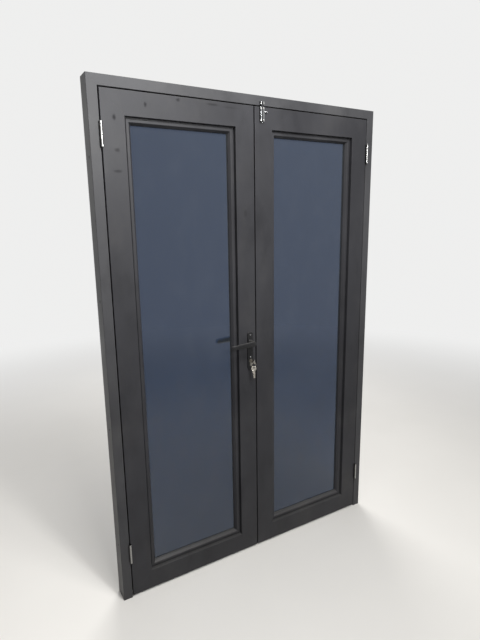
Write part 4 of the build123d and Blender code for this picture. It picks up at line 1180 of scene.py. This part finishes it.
@dataclass
class Fastenings:
    """Every screw of the door.

    Attributes:
        hinge_heights: Heights of the hinge screws.
        hinge_y: Their place through the door.
        leaf_wing_x: Outer face of the leaf's hinge wings.
        jamb_wing_x: Inner face of the jamb's hinge wings.
        edge_heights: Heights of the screws in the faceplate and in the strike.
        edge_x: Faces of faceplate and strike, from the middle of the meeting gap.
        cylinder_height: Height of the cylinder's fixing screw.
        clamp_heights: Heights of the screws that clamp the lever plates.
        clamp_x: Their place across the door.
        clamp_y: Tops of their heads, from the middle of the leaf's thickness.
        bolt_columns: Columns of the slide bolt's screws across the door.
        bolt_y: Tops of their heads, through the door.
        keeper_height: Height of the keeper's screws.
        base_heights: Heights of the screws in the slide bolt's base.
    """

    hinge_heights: tuple[float, ...] = (0.181, 0.211, 0.241, 1.825, 1.855, 1.885)
    hinge_y: float = -0.0159
    leaf_wing_x: float = 0.62635
    jamb_wing_x: float = 0.62665
    edge_heights: tuple[float, ...] = (0.8995, 1.0905)
    edge_x: float = 0.0025
    cylinder_height: float = 0.9252
    clamp_heights: tuple[float, ...] = (0.962, 1.063)
    clamp_x: float = -0.0325
    clamp_y: float = 0.0294
    bolt_columns: tuple[float, ...] = (0.02855, 0.04145)
    bolt_y: float = -0.0329
    keeper_height: float = 2.0205
    base_heights: tuple[float, ...] = (1.9555, 2.0005)

    def build(self, book: FinishBook) -> None:
        """Build all sets of screws.

        Args:
            book: Finishes.
        """
        hinge = Screw(Head.COUNTERSUNK, Drive.CROSS, head_radius=0.0033, head_height=0.00185,
                      shank_radius=0.0019, length=0.0140)
        edge = Screw(Head.FLUSH, Drive.CROSS, head_radius=0.0035, head_height=0.0030,
                     shank_radius=0.0019, length=0.0120)
        cylinder = Screw(Head.FLUSH, Drive.CROSS, head_radius=0.0035, head_height=0.0030,
                         shank_radius=0.00245, length=0.0340)
        clamp = Screw(Head.PAN, Drive.SLOT, head_radius=0.0036, head_height=0.0019,
                      shank_radius=0.0019, length=0.0139)
        small = Screw(Head.PAN, Drive.CROSS, head_radius=0.0023, head_height=0.0012,
                      shank_radius=0.0013, length=0.0202, pitch=0.0006)
        jambs = [(hinge, (side * self.jamb_wing_x, self.hinge_y, z), (-side, 0, 0))
                 for side in (-1, 1) for z in self.hinge_heights]
        keeper = [(small, (x, self.bolt_y, self.keeper_height), (0, -1, 0)) for x in self.bolt_columns]
        lock = [(edge, (-self.edge_x, 0, z), (1, 0, 0)) for z in self.edge_heights]
        lock.append((cylinder, (-self.edge_x, 0, self.cylinder_height), (1, 0, 0)))
        strike = [(edge, (self.edge_x, 0, z), (-1, 0, 0)) for z in self.edge_heights]
        clamps = [(clamp, (self.clamp_x, side * self.clamp_y, z), (0, side, 0))
                  for side in (-1, 1) for z in self.clamp_heights]
        base = [(small, (x, self.bolt_y, z), (0, -1, 0))
                for x in self.bolt_columns for z in self.base_heights]
        sets = [
            ScrewSet("jamb_and_keeper_screws", "frame_screws", Body.FRAME, "screw_steel", jambs + keeper),
            ScrewSet("lock_edge_screws", "lock_screws", Body.LEFT_LEAF, "screw_steel", lock),
            ScrewSet("strike_edge_screws", "strike_screws", Body.RIGHT_LEAF, "screw_steel", strike),
            ScrewSet("plate_clamp_screws", "lever_plate_screws", Body.LEFT_LEAF, "black_satin", clamps,
                     finish="black_steel"),
            ScrewSet("bolt_base_screws", "slide_bolt_screws", Body.RIGHT_LEAF, "screw_steel", base),
        ]
        for side, leaf, body in ((-1, Side.LEFT, Body.LEFT_LEAF), (1, Side.RIGHT, Body.RIGHT_LEAF)):
            places = [(hinge, (side * self.leaf_wing_x, self.hinge_y, z), (side, 0, 0))
                      for z in self.hinge_heights]
            sets.append(ScrewSet(f"{leaf.value}_leaf_hinge_screws", f"{leaf.value}_hinge_screws", body,
                                 "screw_steel", places))
        for seed, item in enumerate(sets):
            item.build(book, seed)


@dataclass
class OuterFrame:
    """Head, jambs, cleats, weatherstrip and the frame's halves of the hinges.

    Attributes:
        profiles: Nodes in the frame's coat.
        hinge_nodes: Nodes in the hinges' plating.
    """

    profiles: tuple[str, ...] = ("frame_head", "frame_left_jamb", "frame_right_jamb")
    hinge_nodes: tuple[str, ...] = ("hinge_jamb_halves", "hinge_pins")

    def dress(self, book: FinishBook) -> None:
        """Give the frame's nodes their finishes.

        Args:
            book: Finishes.
        """
        for node in self.profiles:
            book.dress(node, "frame_profile")
        for node in self.hinge_nodes:
            book.dress(node, "hinge_steel")
        book.dress("frame_corner_cleats", "bare_aluminium")
        book.dress("frame_weatherstrip", "rubber")


@dataclass
class Leaf:
    """One glazed leaf with its hinge halves.

    Attributes:
        side: Which leaf it is.
    """

    side: Side

    def dress(self, book: FinishBook) -> None:
        """Give the leaf's nodes their finishes.

        Args:
            book: Finishes.
        """
        label = self.side.value
        coat = f"{label}_leaf_profile"
        slots = {
            "hinge_stile": coat, "meeting_stile": coat, "top_rail": coat, "bottom_rail": coat,
            "glazing_beads": coat, "corner_cleats": "bare_aluminium", "glass": "glass",
            "inner_gasket": "rubber", "outer_gasket": "rubber", "setting_blocks": "block_plastic",
            "hinge_leaf_halves": "hinge_steel",
        }
        for node, slot in slots.items():
            book.dress(f"{label}_{node}", slot)


@dataclass
class MortiseLock:
    """Lock case with its bolts, and the strike on the other leaf.

    Attributes:
        steel: Nodes of satin steel.
    """

    steel: tuple[str, ...] = ("lock_case", "lock_cover", "lock_faceplate", "lock_follower", "lever_spindle",
                              "latch_bolt", "dead_bolt", "strike_plate")

    def dress(self, book: FinishBook) -> None:
        """Give the lock's nodes their finishes.

        Args:
            book: Finishes.
        """
        for node in self.steel:
            book.dress(node, "lock_steel")


@dataclass
class MeetingSeal:
    """Rubber seal on the right leaf's meeting edge, with a bent lip that closes the gap.

    Attributes:
        tip_x: How far across the door the lip reaches.
        bend: How far the lip bends to the outside.
        root_half: Half the lip's thickness at its root.
        tip_half: Half its thickness at its tip.
        rounding: Size of the foot's rounded corners.
        lip_steps: Steps of the section from the lip's root to its tip.
        length_steps: Steps along the seal.
    """

    tip_x: float = -0.0023
    bend: float = 0.0018
    root_half: float = 0.00045
    tip_half: float = 0.00030
    rounding: float = 0.0005
    lip_steps: int = 10
    length_steps: int = 12

    def outline(self) -> list[Pair]:
        """Trace the seal's section, foot and lip, by its places across and through the door.

        Returns:
            The points in order.
        """
        low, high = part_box("meeting_seal")
        root_y = (low[1] + high[1]) / 2 - self.bend / 2
        outer, inner = [], []
        for i in range(self.lip_steps + 1):
            share = i / self.lip_steps
            x = between(low[0], self.tip_x, share)
            y = root_y + self.bend * share * share
            along = Vector((self.tip_x - low[0], 2 * self.bend * share)).normalized()
            half = between(self.root_half, self.tip_half, share)
            outer.append((x + along.y * half, y - along.x * half))
            inner.append((x - along.y * half, y + along.x * half))
        edge = self.rounding
        foot_outer = [(high[0], low[1]), (high[0], high[1]), (low[0] + edge, high[1]),
                      (low[0], high[1] - edge)]
        foot_inner = [(low[0], low[1] + edge), (low[0] + edge, low[1])]
        return foot_outer + outer + list(reversed(inner)) + foot_inner

    def build(self, book: FinishBook) -> None:
        """Build the seal along the edge.

        Args:
            book: Finishes.
        """
        low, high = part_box("meeting_seal")
        steps = self.length_steps
        heights = [low[2] + (high[2] - low[2]) * i / steps for i in range(steps + 1)]
        section = self.outline()
        seal = loft("meeting_edge_seal", [[Vector((x, y, z)) for x, y in section] for z in heights])
        smooth(seal, 30.0)
        finish_piece(seal, Body.RIGHT_LEAF, "rubber", book, "meeting_seal")


@dataclass
class LeverPair:
    """Both lever handles and their plates.

    Attributes:
        axis_x: The spindle's place across the door.
        axis_z: The spindle's height.
        base_y: Where the neck leaves the leaf's face.
        base_radius: Radius of the neck behind its collar.
        collar: Start, end and radius of the collar on the plate.
        neck_radius: Radius of the neck.
        neck_middle_y: Where the neck has a section between its collar and the elbow.
        front_y: Front of the grip.
        elbow_length: Length of the elbow through the door, from the grip's middle.
        elbow_steps: Steps round the elbow.
        elbow_square: Squareness of the section before the elbow, and what the elbow adds.
        root: Half the grip's thickness and half its height at the elbow.
        tip: The same at the grip's end.
        grip_square: Squareness of the grip's section at its root, and what the grip adds.
        grip_shares: Places of the grip's sections, as shares of its length.
        root_rise: Height of the grip's middle over the spindle at the elbow.
        tip_drop: Depth of the grip's middle under the spindle at its end.
        tip_x: End of the grip.
        tip_return: How far the tip turns back to the leaf.
        return_share: Share of the grip's length that turns back.
        round_share: Share of the grip's length that is rounded off.
        ring_points: Points round each section.
    """

    axis_x: float = -0.0325
    axis_z: float = 1.0305
    base_y: float = -0.0227
    base_radius: float = 0.0084
    collar: Point = (-0.0277, -0.0312, 0.0125)
    neck_radius: float = 0.0092
    neck_middle_y: float = -0.0450
    front_y: float = -0.0744
    elbow_length: float = 0.0100
    elbow_steps: int = 9
    elbow_square: Pair = (2.0, 1.8)
    root: Pair = (0.0056, 0.0120)
    tip: Pair = (0.0044, 0.0082)
    grip_square: Pair = (3.8, 0.8)
    grip_shares: tuple[float, ...] = (0.0, 0.12, 0.3, 0.5, 0.7, 0.8, 0.86, 0.91, 0.95, 0.975, 0.99, 1.0)
    root_rise: float = 0.0010
    tip_drop: float = 0.0037
    tip_x: float = -0.1475
    tip_return: float = 0.0050
    return_share: float = 0.2
    round_share: float = 0.05
    ring_points: int = 32

    def section(self, centre: Vector, across: Vector, half_across: float, half_up: float,
                square: float) -> list[Vector]:
        """Make one rounded section.

        Args:
            centre: Its middle.
            across: Direction of its level axis.
            half_across: Half size along that axis.
            half_up: Half size along Z.
            square: 2 for an ellipse; more for a squarer outline.

        Returns:
            The section's points.
        """
        points = []
        for c, s in circle(self.ring_points):
            u = math.copysign(abs(c) ** (2 / square), c) * half_across
            v = math.copysign(abs(s) ** (2 / square), s) * half_up
            points.append(centre + across * u + Vector((0, 0, v)))
        return points

    def neck_rings(self, neck_end: float) -> list[list[Vector]]:
        """Make the round sections of collar and neck.

        Args:
            neck_end: Where the elbow starts, through the door.

        Returns:
            The sections.
        """
        start, end, collar = self.collar
        neck = self.neck_radius
        base = self.base_radius
        steps = ((self.base_y, base), (start + 0.0001, base), (start, collar - 0.0004),
                 (start - 0.0004, collar), (end + 0.0009, collar), (end + 0.0002, collar - 0.0005),
                 (end, collar - 0.0016), (end - 0.0002, neck + 0.0010), (end - 0.0012, neck + 0.0001),
                 (end - 0.0030, neck), (self.neck_middle_y, neck), (neck_end, neck))
        level = Vector((1, 0, 0))
        return [self.section(Vector((self.axis_x, y, self.axis_z)), level, size, size, self.elbow_square[0])
                for y, size in steps]

    def elbow_rings(self, neck_end: float) -> list[list[Vector]]:
        """Make the sections that turn from the neck into the grip.

        Args:
            neck_end: Where the elbow starts, through the door.

        Returns:
            The sections.
        """
        rings = []
        middle = self.front_y + self.root[0]
        for i in range(1, self.elbow_steps):
            share = i / self.elbow_steps
            angle = share * math.pi / 2
            eased = ease(share)
            centre = Vector((self.axis_x - self.neck_radius * (1 - math.cos(angle)),
                             neck_end - (neck_end - middle) * math.sin(angle),
                             self.axis_z + self.root_rise * eased))
            across = Vector((math.cos(angle), -math.sin(angle), 0))
            half_across = between(self.neck_radius, self.root[0], eased)
            half_up = between(self.neck_radius, self.root[1], eased)
            square = self.elbow_square[0] + self.elbow_square[1] * eased
            rings.append(self.section(centre, across, half_across, half_up, square))
        return rings

    def grip_rings(self) -> list[list[Vector]]:
        """Make all sections from the leaf, round the elbow, to the tip.

        Returns:
            The sections.
        """
        neck_end = self.front_y + self.root[0] + self.elbow_length
        rings = self.neck_rings(neck_end) + self.elbow_rings(neck_end)
        start = self.axis_x - self.neck_radius
        length = start - self.tip_x
        for share in self.grip_shares:
            bend = max(0.0, (share - (1.0 - self.return_share)) / self.return_share)
            rounding = max(0.0, (share - (1.0 - self.round_share)) / self.round_share)
            # Towards its end the grip loses more of its thickness than of its height.
            slim = 1.0 - 0.45 * rounding ** 2
            half_across = between(self.root[0], self.tip[0], share)
            half_up = between(self.root[1], self.tip[1], share)
            centre = Vector((start - length * share,
                             self.front_y + half_across + self.tip_return * bend * bend,
                             self.axis_z + self.root_rise * (1.0 - share) - self.tip_drop * share))
            tilt = math.atan(2 * self.tip_return * bend / self.return_share / length)
            across = Vector((-math.sin(tilt), -math.cos(tilt), 0))
            square = self.grip_square[0] + self.grip_square[1] * share
            rings.append(self.section(centre, across, half_across * slim, half_up * (0.7 + 0.3 * slim),
                                      square))
        return rings

    def build(self, book: FinishBook) -> None:
        """Build both levers and dress their plates.

        Args:
            book: Finishes.
        """
        rings = self.grip_rings()
        inner = loft("room_lever", rings)
        outer = loft("outside_lever", [[Vector((p.x, -p.y, p.z)) for p in ring] for ring in rings])
        for piece, node in ((inner, "inner_lever"), (outer, "outer_lever")):
            rounding = piece.modifiers.new("rounding", "SUBSURF")
            rounding.levels = rounding.render_levels = 1
            apply_modifiers(piece)
            smooth(piece, 50.0)
            finish_piece(piece, Body.LEVER, "black_satin", book, node)
        for node in ("inner_lever_plate", "outer_lever_plate"):
            book.dress(node, "black_satin")


@dataclass
class KeySet:
    """Key cylinder, the key in it, the split ring and the spare key.

    Attributes:
        hole: Middle of the hole in the bow of the key that is in the lock.
        spare_hole: Middle of the hole in the spare key's bow.
        spare_turn_deg: Turn of the spare key about its height.
        ring_centre: Middle of the ring.
        ring_radius: Radius of the ring's turns.
        wire_radius: Radius of the ring's wire.
        thickness: The keys' thickness.
        edge: Size of their soft edges.
        bow_radius: Radius of the bow.
        bow_lobes: Height of the bow's three faint lobes, as a share of its radius.
        bow_steps: Steps round the bow.
        hole_radius: Radius of the hole in the bow.
        hole_offset: How far the hole lies behind the bow's middle.
        shoulder: Start of the blade, from the bow's middle.
        neck_half: Half the neck's height.
        blade_low: Lower edge of the blade, from the key's axis.
        blade_high: Its upper edge, before the cuts.
        blade_length: Length of the blade.
        cuts: Depth of each cut, from the shoulder on.
        groove_halves: Half the width of the milled groove at its mouth and at its floor.
        groove_depth: Depth of that groove.
        field_radii: Inner and outer radius of the bow's stamped field at its floor.
        field_depth: Depth of that field.
    """

    hole: Point = (-0.0325, -0.0540, 0.9455)
    spare_hole: Point = (-0.0325, -0.0540, 0.9193)
    spare_turn_deg: float = 50.0
    ring_centre: Point = (-0.0325, -0.0540, 0.9323)
    ring_radius: float = 0.0110
    wire_radius: float = 0.0007
    thickness: float = 0.0022
    edge: float = 0.00025
    bow_radius: float = 0.0115
    bow_lobes: float = 0.018
    bow_steps: int = 44
    hole_radius: float = 0.0040
    hole_offset: float = 0.0040
    shoulder: float = 0.0200
    neck_half: float = 0.0060
    blade_low: float = -0.0053
    blade_high: float = 0.0033
    blade_length: float = 0.0245
    cuts: tuple[float, ...] = (0.0016, 0.0026, 0.0012, 0.0022, 0.0018)
    groove_halves: Pair = (0.0011, 0.0006)
    groove_depth: float = 0.0005
    field_radii: Pair = (0.0060, 0.0094)
    field_depth: float = 0.00022

    def outline(self) -> list[Pair]:
        """Trace the key from its bow to its tip, along its length and across it, from the bow's middle.

        Returns:
            The points in order.
        """
        points = []
        neck_angle = math.asin(self.neck_half / self.bow_radius)
        for i in range(self.bow_steps + 1):
            turn = neck_angle + (2 * math.pi - 2 * neck_angle) * i / self.bow_steps
            radius = self.bow_radius * (1.0 + self.bow_lobes * math.cos(3 * turn))
            points.append((radius * math.cos(turn), radius * math.sin(turn)))
        end = self.shoulder + self.blade_length
        points += [(self.shoulder - 0.0010, -self.neck_half), (self.shoulder, -self.neck_half + 0.0006),
                   (self.shoulder, self.blade_low), (end - 0.0030, self.blade_low),
                   (end, self.blade_low + 0.0032), (end, self.blade_high - 0.0034)]
        pitch = self.blade_length / (len(self.cuts) + 1)
        for i, depth in reversed(list(enumerate(self.cuts))):
            x = self.shoulder + pitch * (i + 0.8)
            floor = self.blade_high - depth
            points += [(x + pitch * 0.46, self.blade_high - 0.0006), (x + 0.0005, floor),
                       (x - 0.0005, floor)]
        points += [(self.shoulder + 0.0012, self.blade_high), (self.shoulder, self.blade_high),
                   (self.shoulder, self.neck_half - 0.0006), (self.shoulder - 0.0010, self.neck_half)]
        return points

    def key_mesh(self, name: str, place: Matrix) -> Piece:
        """Build one key with soft edges, a stamped bow and a milled groove.

        Args:
            name: The object's name.
            place: Matrix from the key's own axes to its place: local X along the key, local Y
                across it, local Z through its thickness, the hole's middle at the origin.

        Returns:
            The key.
        """
        curve = bpy.data.curves.new(name, "CURVE")
        curve.dimensions = "2D"
        curve.fill_mode = "BOTH"
        curve.extrude = self.thickness / 2 - self.edge
        curve.bevel_depth = self.edge
        curve.bevel_resolution = 2
        curve.offset = -self.edge
        hole_line = [(-self.hole_offset + self.hole_radius * c, self.hole_radius * s)
                     for c, s in circle(32)]
        for line in (self.outline(), hole_line):
            spline = curve.splines.new("POLY")
            spline.points.add(len(line) - 1)
            for point, (u, v) in zip(spline.points, line):
                point.co = (u + self.hole_offset, v, 0.0, 1.0)
            spline.use_cyclic_u = True
        source = bpy.data.objects.new(name + "_line", curve)
        bpy.context.scene.collection.objects.link(source)
        bpy.context.view_layer.update()
        mesh = shown_mesh(source)
        bpy.data.objects.remove(source)
        piece = link_mesh(name, mesh)
        carve(piece, self.groove_cutters())
        piece.data.transform(place)
        return piece

    def groove_cutters(self) -> list[Piece]:
        """Make the tools for the milled groove of the blade and the stamped field of the bow.

        Returns:
            The tools.
        """
        cutters = []
        middle = (self.blade_low + self.blade_high) / 2
        half = self.thickness / 2
        run_in, run_out, above = 0.0030, 0.0020, 0.0010
        start = self.hole_offset + self.shoulder - run_in
        end = self.hole_offset + self.shoulder + self.blade_length + run_out
        mouth, floor = self.groove_halves
        depth = self.groove_depth
        groove = ((-mouth, above), (mouth, above), (floor, -depth), (-floor, -depth))
        rise, flare = 0.0012, 0.0004
        inner, outer = self.field_radii
        field_profile = ((0.0, inner), (0.0, outer), (rise, outer + flare), (rise, inner - flare))
        for face in (-1, 1):
            rings = [[Vector((x, middle + across, face * (half + out))) for across, out in groove]
                     for x in (start, end)]
            cutters.append(loft("groove_cutter", rings))
            rings = [[Vector((self.hole_offset + radius * c, radius * s,
                              face * (half - self.field_depth + out))) for out, radius in field_profile]
                     for c, s in circle(40)]
            cutters.append(loft("bow_cutter", rings, closed=True))
        return cutters

    def ring_mesh(self) -> Piece:
        """Build the split ring: two close turns of wire that pass through both bows.

        Returns:
            The ring.
        """
        rings = []
        steps, sides, turns, start = 112, 12, 2.0, math.pi / 3
        spacing, crossing, end_size = 1.03, 0.5, 0.55
        pitch = 2 * self.wire_radius * spacing
        through = Vector((0, 1, 0))
        for i in range(steps + 1):
            angle = 2 * math.pi * turns * (i / steps) - start
            swing = min(max(angle + start - 2 * math.pi + crossing, 0.0), 1.0)
            y = pitch * (ease(swing) - 0.5)
            out = Vector((math.cos(angle), 0, math.sin(angle)))
            centre = Vector(self.ring_centre) + out * self.ring_radius + Vector((0, y, 0))
            size = self.wire_radius * (end_size if i in (0, steps) else 1.0)
            rings.append([centre + (out * c + through * s) * size for c, s in circle(sides)])
        return loft("split_ring", rings)

    def build(self, book: FinishBook) -> None:
        """Build the keys and the ring and dress the cylinder.

        Args:
            book: Finishes.
        """
        upright = Matrix(((0, 0, 1), (1, 0, 0), (0, 1, 0))).to_4x4()
        key = self.key_mesh("key_in_lock", Matrix.Translation(self.hole) @ upright)
        hanging = Matrix(((0, 0, 1), (0, 1, 0), (-1, 0, 0))).to_4x4()
        turn = Matrix.Rotation(math.radians(self.spare_turn_deg), 4, "Z")
        spare = self.key_mesh("hanging_key", Matrix.Translation(self.spare_hole) @ turn @ hanging)
        ring = self.ring_mesh()
        for piece in (key, spare, ring):
            smooth(piece, 30.0)
        finish_piece(key, Body.KEY, "key_nickel", book, "key")
        finish_piece(spare, Body.HANGING_KEYS, "key_nickel", book, "spare_key")
        finish_piece(ring, Body.HANGING_KEYS, "key_nickel", book, "key_ring")
        for node in ("cylinder_body", "cylinder_plugs", "cylinder_cam"):
            book.dress(node, "cylinder_nickel")


@dataclass
class SlideBolt:
    """Slide bolt at the head: its guide, keeper, screws and turned rod with a knob.

    Attributes:
        axis_x: The rod's place across the door.
        axis_y: The rod's place through the door.
        rod_radius: Radius of the rod.
        bottom_z: Lower end of the rod.
        top_z: Upper end of the rod.
        knob_z: Height of the knob.
        knob_outline: Distance from the rod's axis and radius at each point of the knob and its stem.
    """

    axis_x: float = 0.0350
    axis_y: float = -0.0275
    rod_radius: float = 0.0039
    bottom_z: float = 1.9520
    top_z: float = 2.0260
    knob_z: float = 1.9890
    knob_outline: tuple[Pair, ...] = (
        (0.0032, 0.0021), (0.0182, 0.0021), (0.0186, 0.0024), (0.0190, 0.0036), (0.0197, 0.0042),
        (0.0206, 0.0044), (0.0210, 0.0041), (0.0214, 0.0041), (0.0218, 0.0044), (0.0228, 0.0042),
        (0.0236, 0.0036), (0.0241, 0.0026), (0.0243, 0.0012),
    )

    def build(self, book: FinishBook) -> None:
        """Build the rod with its knob and dress the rest.

        Args:
            book: Finishes.
        """
        r = self.rod_radius
        outline = [(self.bottom_z, r - 0.0005), (self.bottom_z + 0.0005, r), (self.top_z - 0.0012, r),
                   (self.top_z - 0.0004, r - 0.0006), (self.top_z, r - 0.0014)]
        rod = lathe("bolt_rod", outline, Matrix.Translation((self.axis_x, self.axis_y, 0)), 48)
        place = Matrix.Translation((self.axis_x, self.axis_y, self.knob_z))
        knob = lathe("bolt_knob", self.knob_outline, place @ Matrix.Rotation(math.pi / 2, 4, "Y"))
        for piece in (rod, knob):
            smooth(piece, 40.0)
        finish_piece(rod, Body.SLIDE_BOLT, "bolt_rod_steel", book, "slide_bolt_rod")
        # The knob wears the darker copy of the chrome, which is painted shade.
        finish_piece(knob, Body.SLIDE_BOLT, "bolt_chrome", book, finish="knob_chrome")
        for node in ("slide_bolt_base", "slide_bolt_keeper"):
            book.dress(node, "bolt_chrome")


# Studio


@dataclass(frozen=True)
class Lamp:
    """One soft panel.

    Attributes:
        name: The lamp's name.
        place: Where it hangs.
        aim: The point that it faces.
        width: Its width.
        height: Its height.
        watts: Its power.
        mirrored: Whether gloss reflects it.
    """

    name: str
    place: Point
    aim: Point
    width: float
    height: float
    watts: float
    mirrored: bool = True

    def hang(self) -> None:
        """Hang the lamp in the scene."""
        light = bpy.data.lights.new(self.name, "AREA")
        light.shape = "RECTANGLE"
        light.size = self.width
        light.size_y = self.height
        light.energy = self.watts
        lamp = bpy.data.objects.new(self.name, light)
        bpy.context.scene.collection.objects.link(lamp)
        lamp.location = self.place
        lamp.rotation_mode = "QUATERNION"
        lamp.rotation_quaternion = (Vector(self.aim) - Vector(self.place)).to_track_quat("-Z", "Y")
        lamp.visible_transmission = False
        lamp.visible_glossy = self.mirrored


@dataclass
class Studio:
    """Pale floor, soft light and the camera at the photograph's angle.

    Attributes:
        eye: The camera's place.
        heading: Direction in which it looks.
        roll_deg: Its roll about that direction.
        lens_mm: Focal length on a sensor 36 mm long.
        surround: Colour of the world as light.
        backdrop: Colour of the world as the camera, glass and gloss see it.
        floor_colour: Colour of the floor as they see it.
        floor_bounce: Colour of the floor for the light that it sends on.
        floor_half: Half the floor's size.
        floor_z: Height of the floor, just under the door.
        fade_start: Distance from the door at which the floor starts to fade.
        fade_end: Distance at which it has become the surround.
        lamps: The lamps.
    """

    eye: Point = (-1.1100, -1.7660, 1.5578)
    heading: Point = (0.4974, 0.8430, -0.2045)
    roll_deg: float = 0.875
    lens_mm: float = 26.907
    surround: Colour = (0.15, 0.15, 0.155)
    backdrop: Colour = (0.86, 0.86, 0.855)
    floor_colour: Colour = (0.78, 0.76, 0.72)
    floor_bounce: Colour = (0.20, 0.185, 0.165)
    floor_half: float = 30.0
    floor_z: float = -0.0005
    fade_start: float = 1.5
    fade_end: float = 5.0
    lamps: tuple[Lamp, ...] = (
        Lamp("ceiling_panel", (-0.2, -1.5, 3.0), (-0.3, 0.0, 2.0), 1.2, 0.8, 66.0),
        Lamp("strip_panel", (0.02, -2.4, 2.2), (-0.6, 0.0, 1.85), 0.32, 0.7, 42.0),
        Lamp("left_panel", (-2.2, -1.7, 3.0), (-0.6, 0.0, 1.8), 1.4, 1.4, 18.0),
        Lamp("outside_panel", (1.2, 3.0, 2.8), (0.0, 0.0, 1.2), 2.2, 1.6, 110.0, mirrored=False),
    )

    def build(self) -> None:
        """Build floor, world, lamps and camera."""
        self.build_floor()
        self.build_world()
        for lamp in self.lamps:
            lamp.hang()
        self.build_camera()

    def build_floor(self) -> None:
        """Lay a wide floor that fades into the surround far away."""
        mesh = bpy.data.meshes.new("studio_floor")
        work = bmesh.new()
        bmesh.ops.create_grid(work, x_segments=24, y_segments=24, size=self.floor_half)
        work.to_mesh(mesh)
        work.free()
        floor = link_mesh("studio_floor", mesh)
        floor.location.z = self.floor_z
        material, graph, shader = Shader("studio floor").start()
        cloud = graph.noise(graph.place(), 1.4, 4.0)
        clean = self.seen_colour(graph, self.floor_bounce, self.floor_colour)
        worn = graph.math("MULTIPLY", graph.remap(cloud, 0.3, 0.7), 0.04)
        graph.feed(shader.inputs["Base Color"], graph.blend(worn, clean, self.floor_bounce))
        shader.inputs["Roughness"].default_value = 0.55
        far = graph.vector("LENGTH", graph.place()).outputs["Value"]
        glow = graph.add("ShaderNodeEmission")
        graph.feed(glow.inputs["Color"], self.seen_colour(graph, self.surround, self.backdrop))
        mix = graph.add("ShaderNodeMixShader")
        graph.feed(mix.inputs[0], graph.remap(far, self.fade_start, self.fade_end))
        graph.feed(mix.inputs[1], shader.outputs[0])
        graph.feed(mix.inputs[2], glow.outputs[0])
        graph.feed(graph.tree.nodes["Material Output"].inputs["Surface"], mix.outputs[0])
        floor.data.materials.append(material)

    def build_world(self) -> None:
        """Set the plain surround."""
        world = bpy.data.worlds.new("studio")
        bpy.context.scene.world = world
        world.use_nodes = True
        graph = Graph(world.node_tree)
        background = graph.tree.nodes["Background"]
        graph.feed(background.inputs["Color"], self.seen_colour(graph, self.surround, self.backdrop))
        background.inputs["Strength"].default_value = 1.0

    @staticmethod
    def seen_colour(graph: Graph, lit: Colour, seen_as: Colour) -> Socket:
        """Choose a colour by whether a ray is one that the camera, the glass or the metal sees by.

        Args:
            graph: Graph of the world or of a material.
            lit: Colour for all other rays.
            seen_as: Colour for the camera's rays, and for what glass passes and gloss reflects.

        Returns:
            The colour's socket.
        """
        path = graph.add("ShaderNodeLightPath")
        seen = graph.math("MAXIMUM", path.outputs["Is Camera Ray"], path.outputs["Is Transmission Ray"])
        seen = graph.math("MAXIMUM", seen, path.outputs["Is Glossy Ray"])
        return graph.blend(seen, lit, seen_as)

    def build_camera(self) -> None:
        """Set the camera as the photograph's was."""
        data = bpy.data.cameras.new("camera")
        data.lens = self.lens_mm
        data.sensor_width = 36.0
        data.clip_end = 100.0
        camera = bpy.data.objects.new("camera", data)
        bpy.context.scene.collection.objects.link(camera)
        heading = Vector(self.heading).normalized()
        turn = heading.to_track_quat("-Z", "Y")
        camera.rotation_mode = "QUATERNION"
        camera.rotation_quaternion = Quaternion(heading, math.radians(self.roll_deg)) @ turn
        camera.location = self.eye
        bpy.context.scene.camera = camera


def main() -> None:
    """Build the door's looks and the studio."""
    logging.basicConfig(level=logging.INFO, format="%(message)s")
    bpy.context.scene.view_settings.view_transform = "Standard"
    book = FinishBook(Effects())
    book.build()
    Studio().build()
    OuterFrame().dress(book)
    for side in Side:
        Leaf(side).dress(book)
    MortiseLock().dress(book)
    MeetingSeal().build(book)
    LeverPair().build(book)
    KeySet().build(book)
    SlideBolt().build(book)
    Fastenings().build(book)


if __name__ == "__main__":
    main()
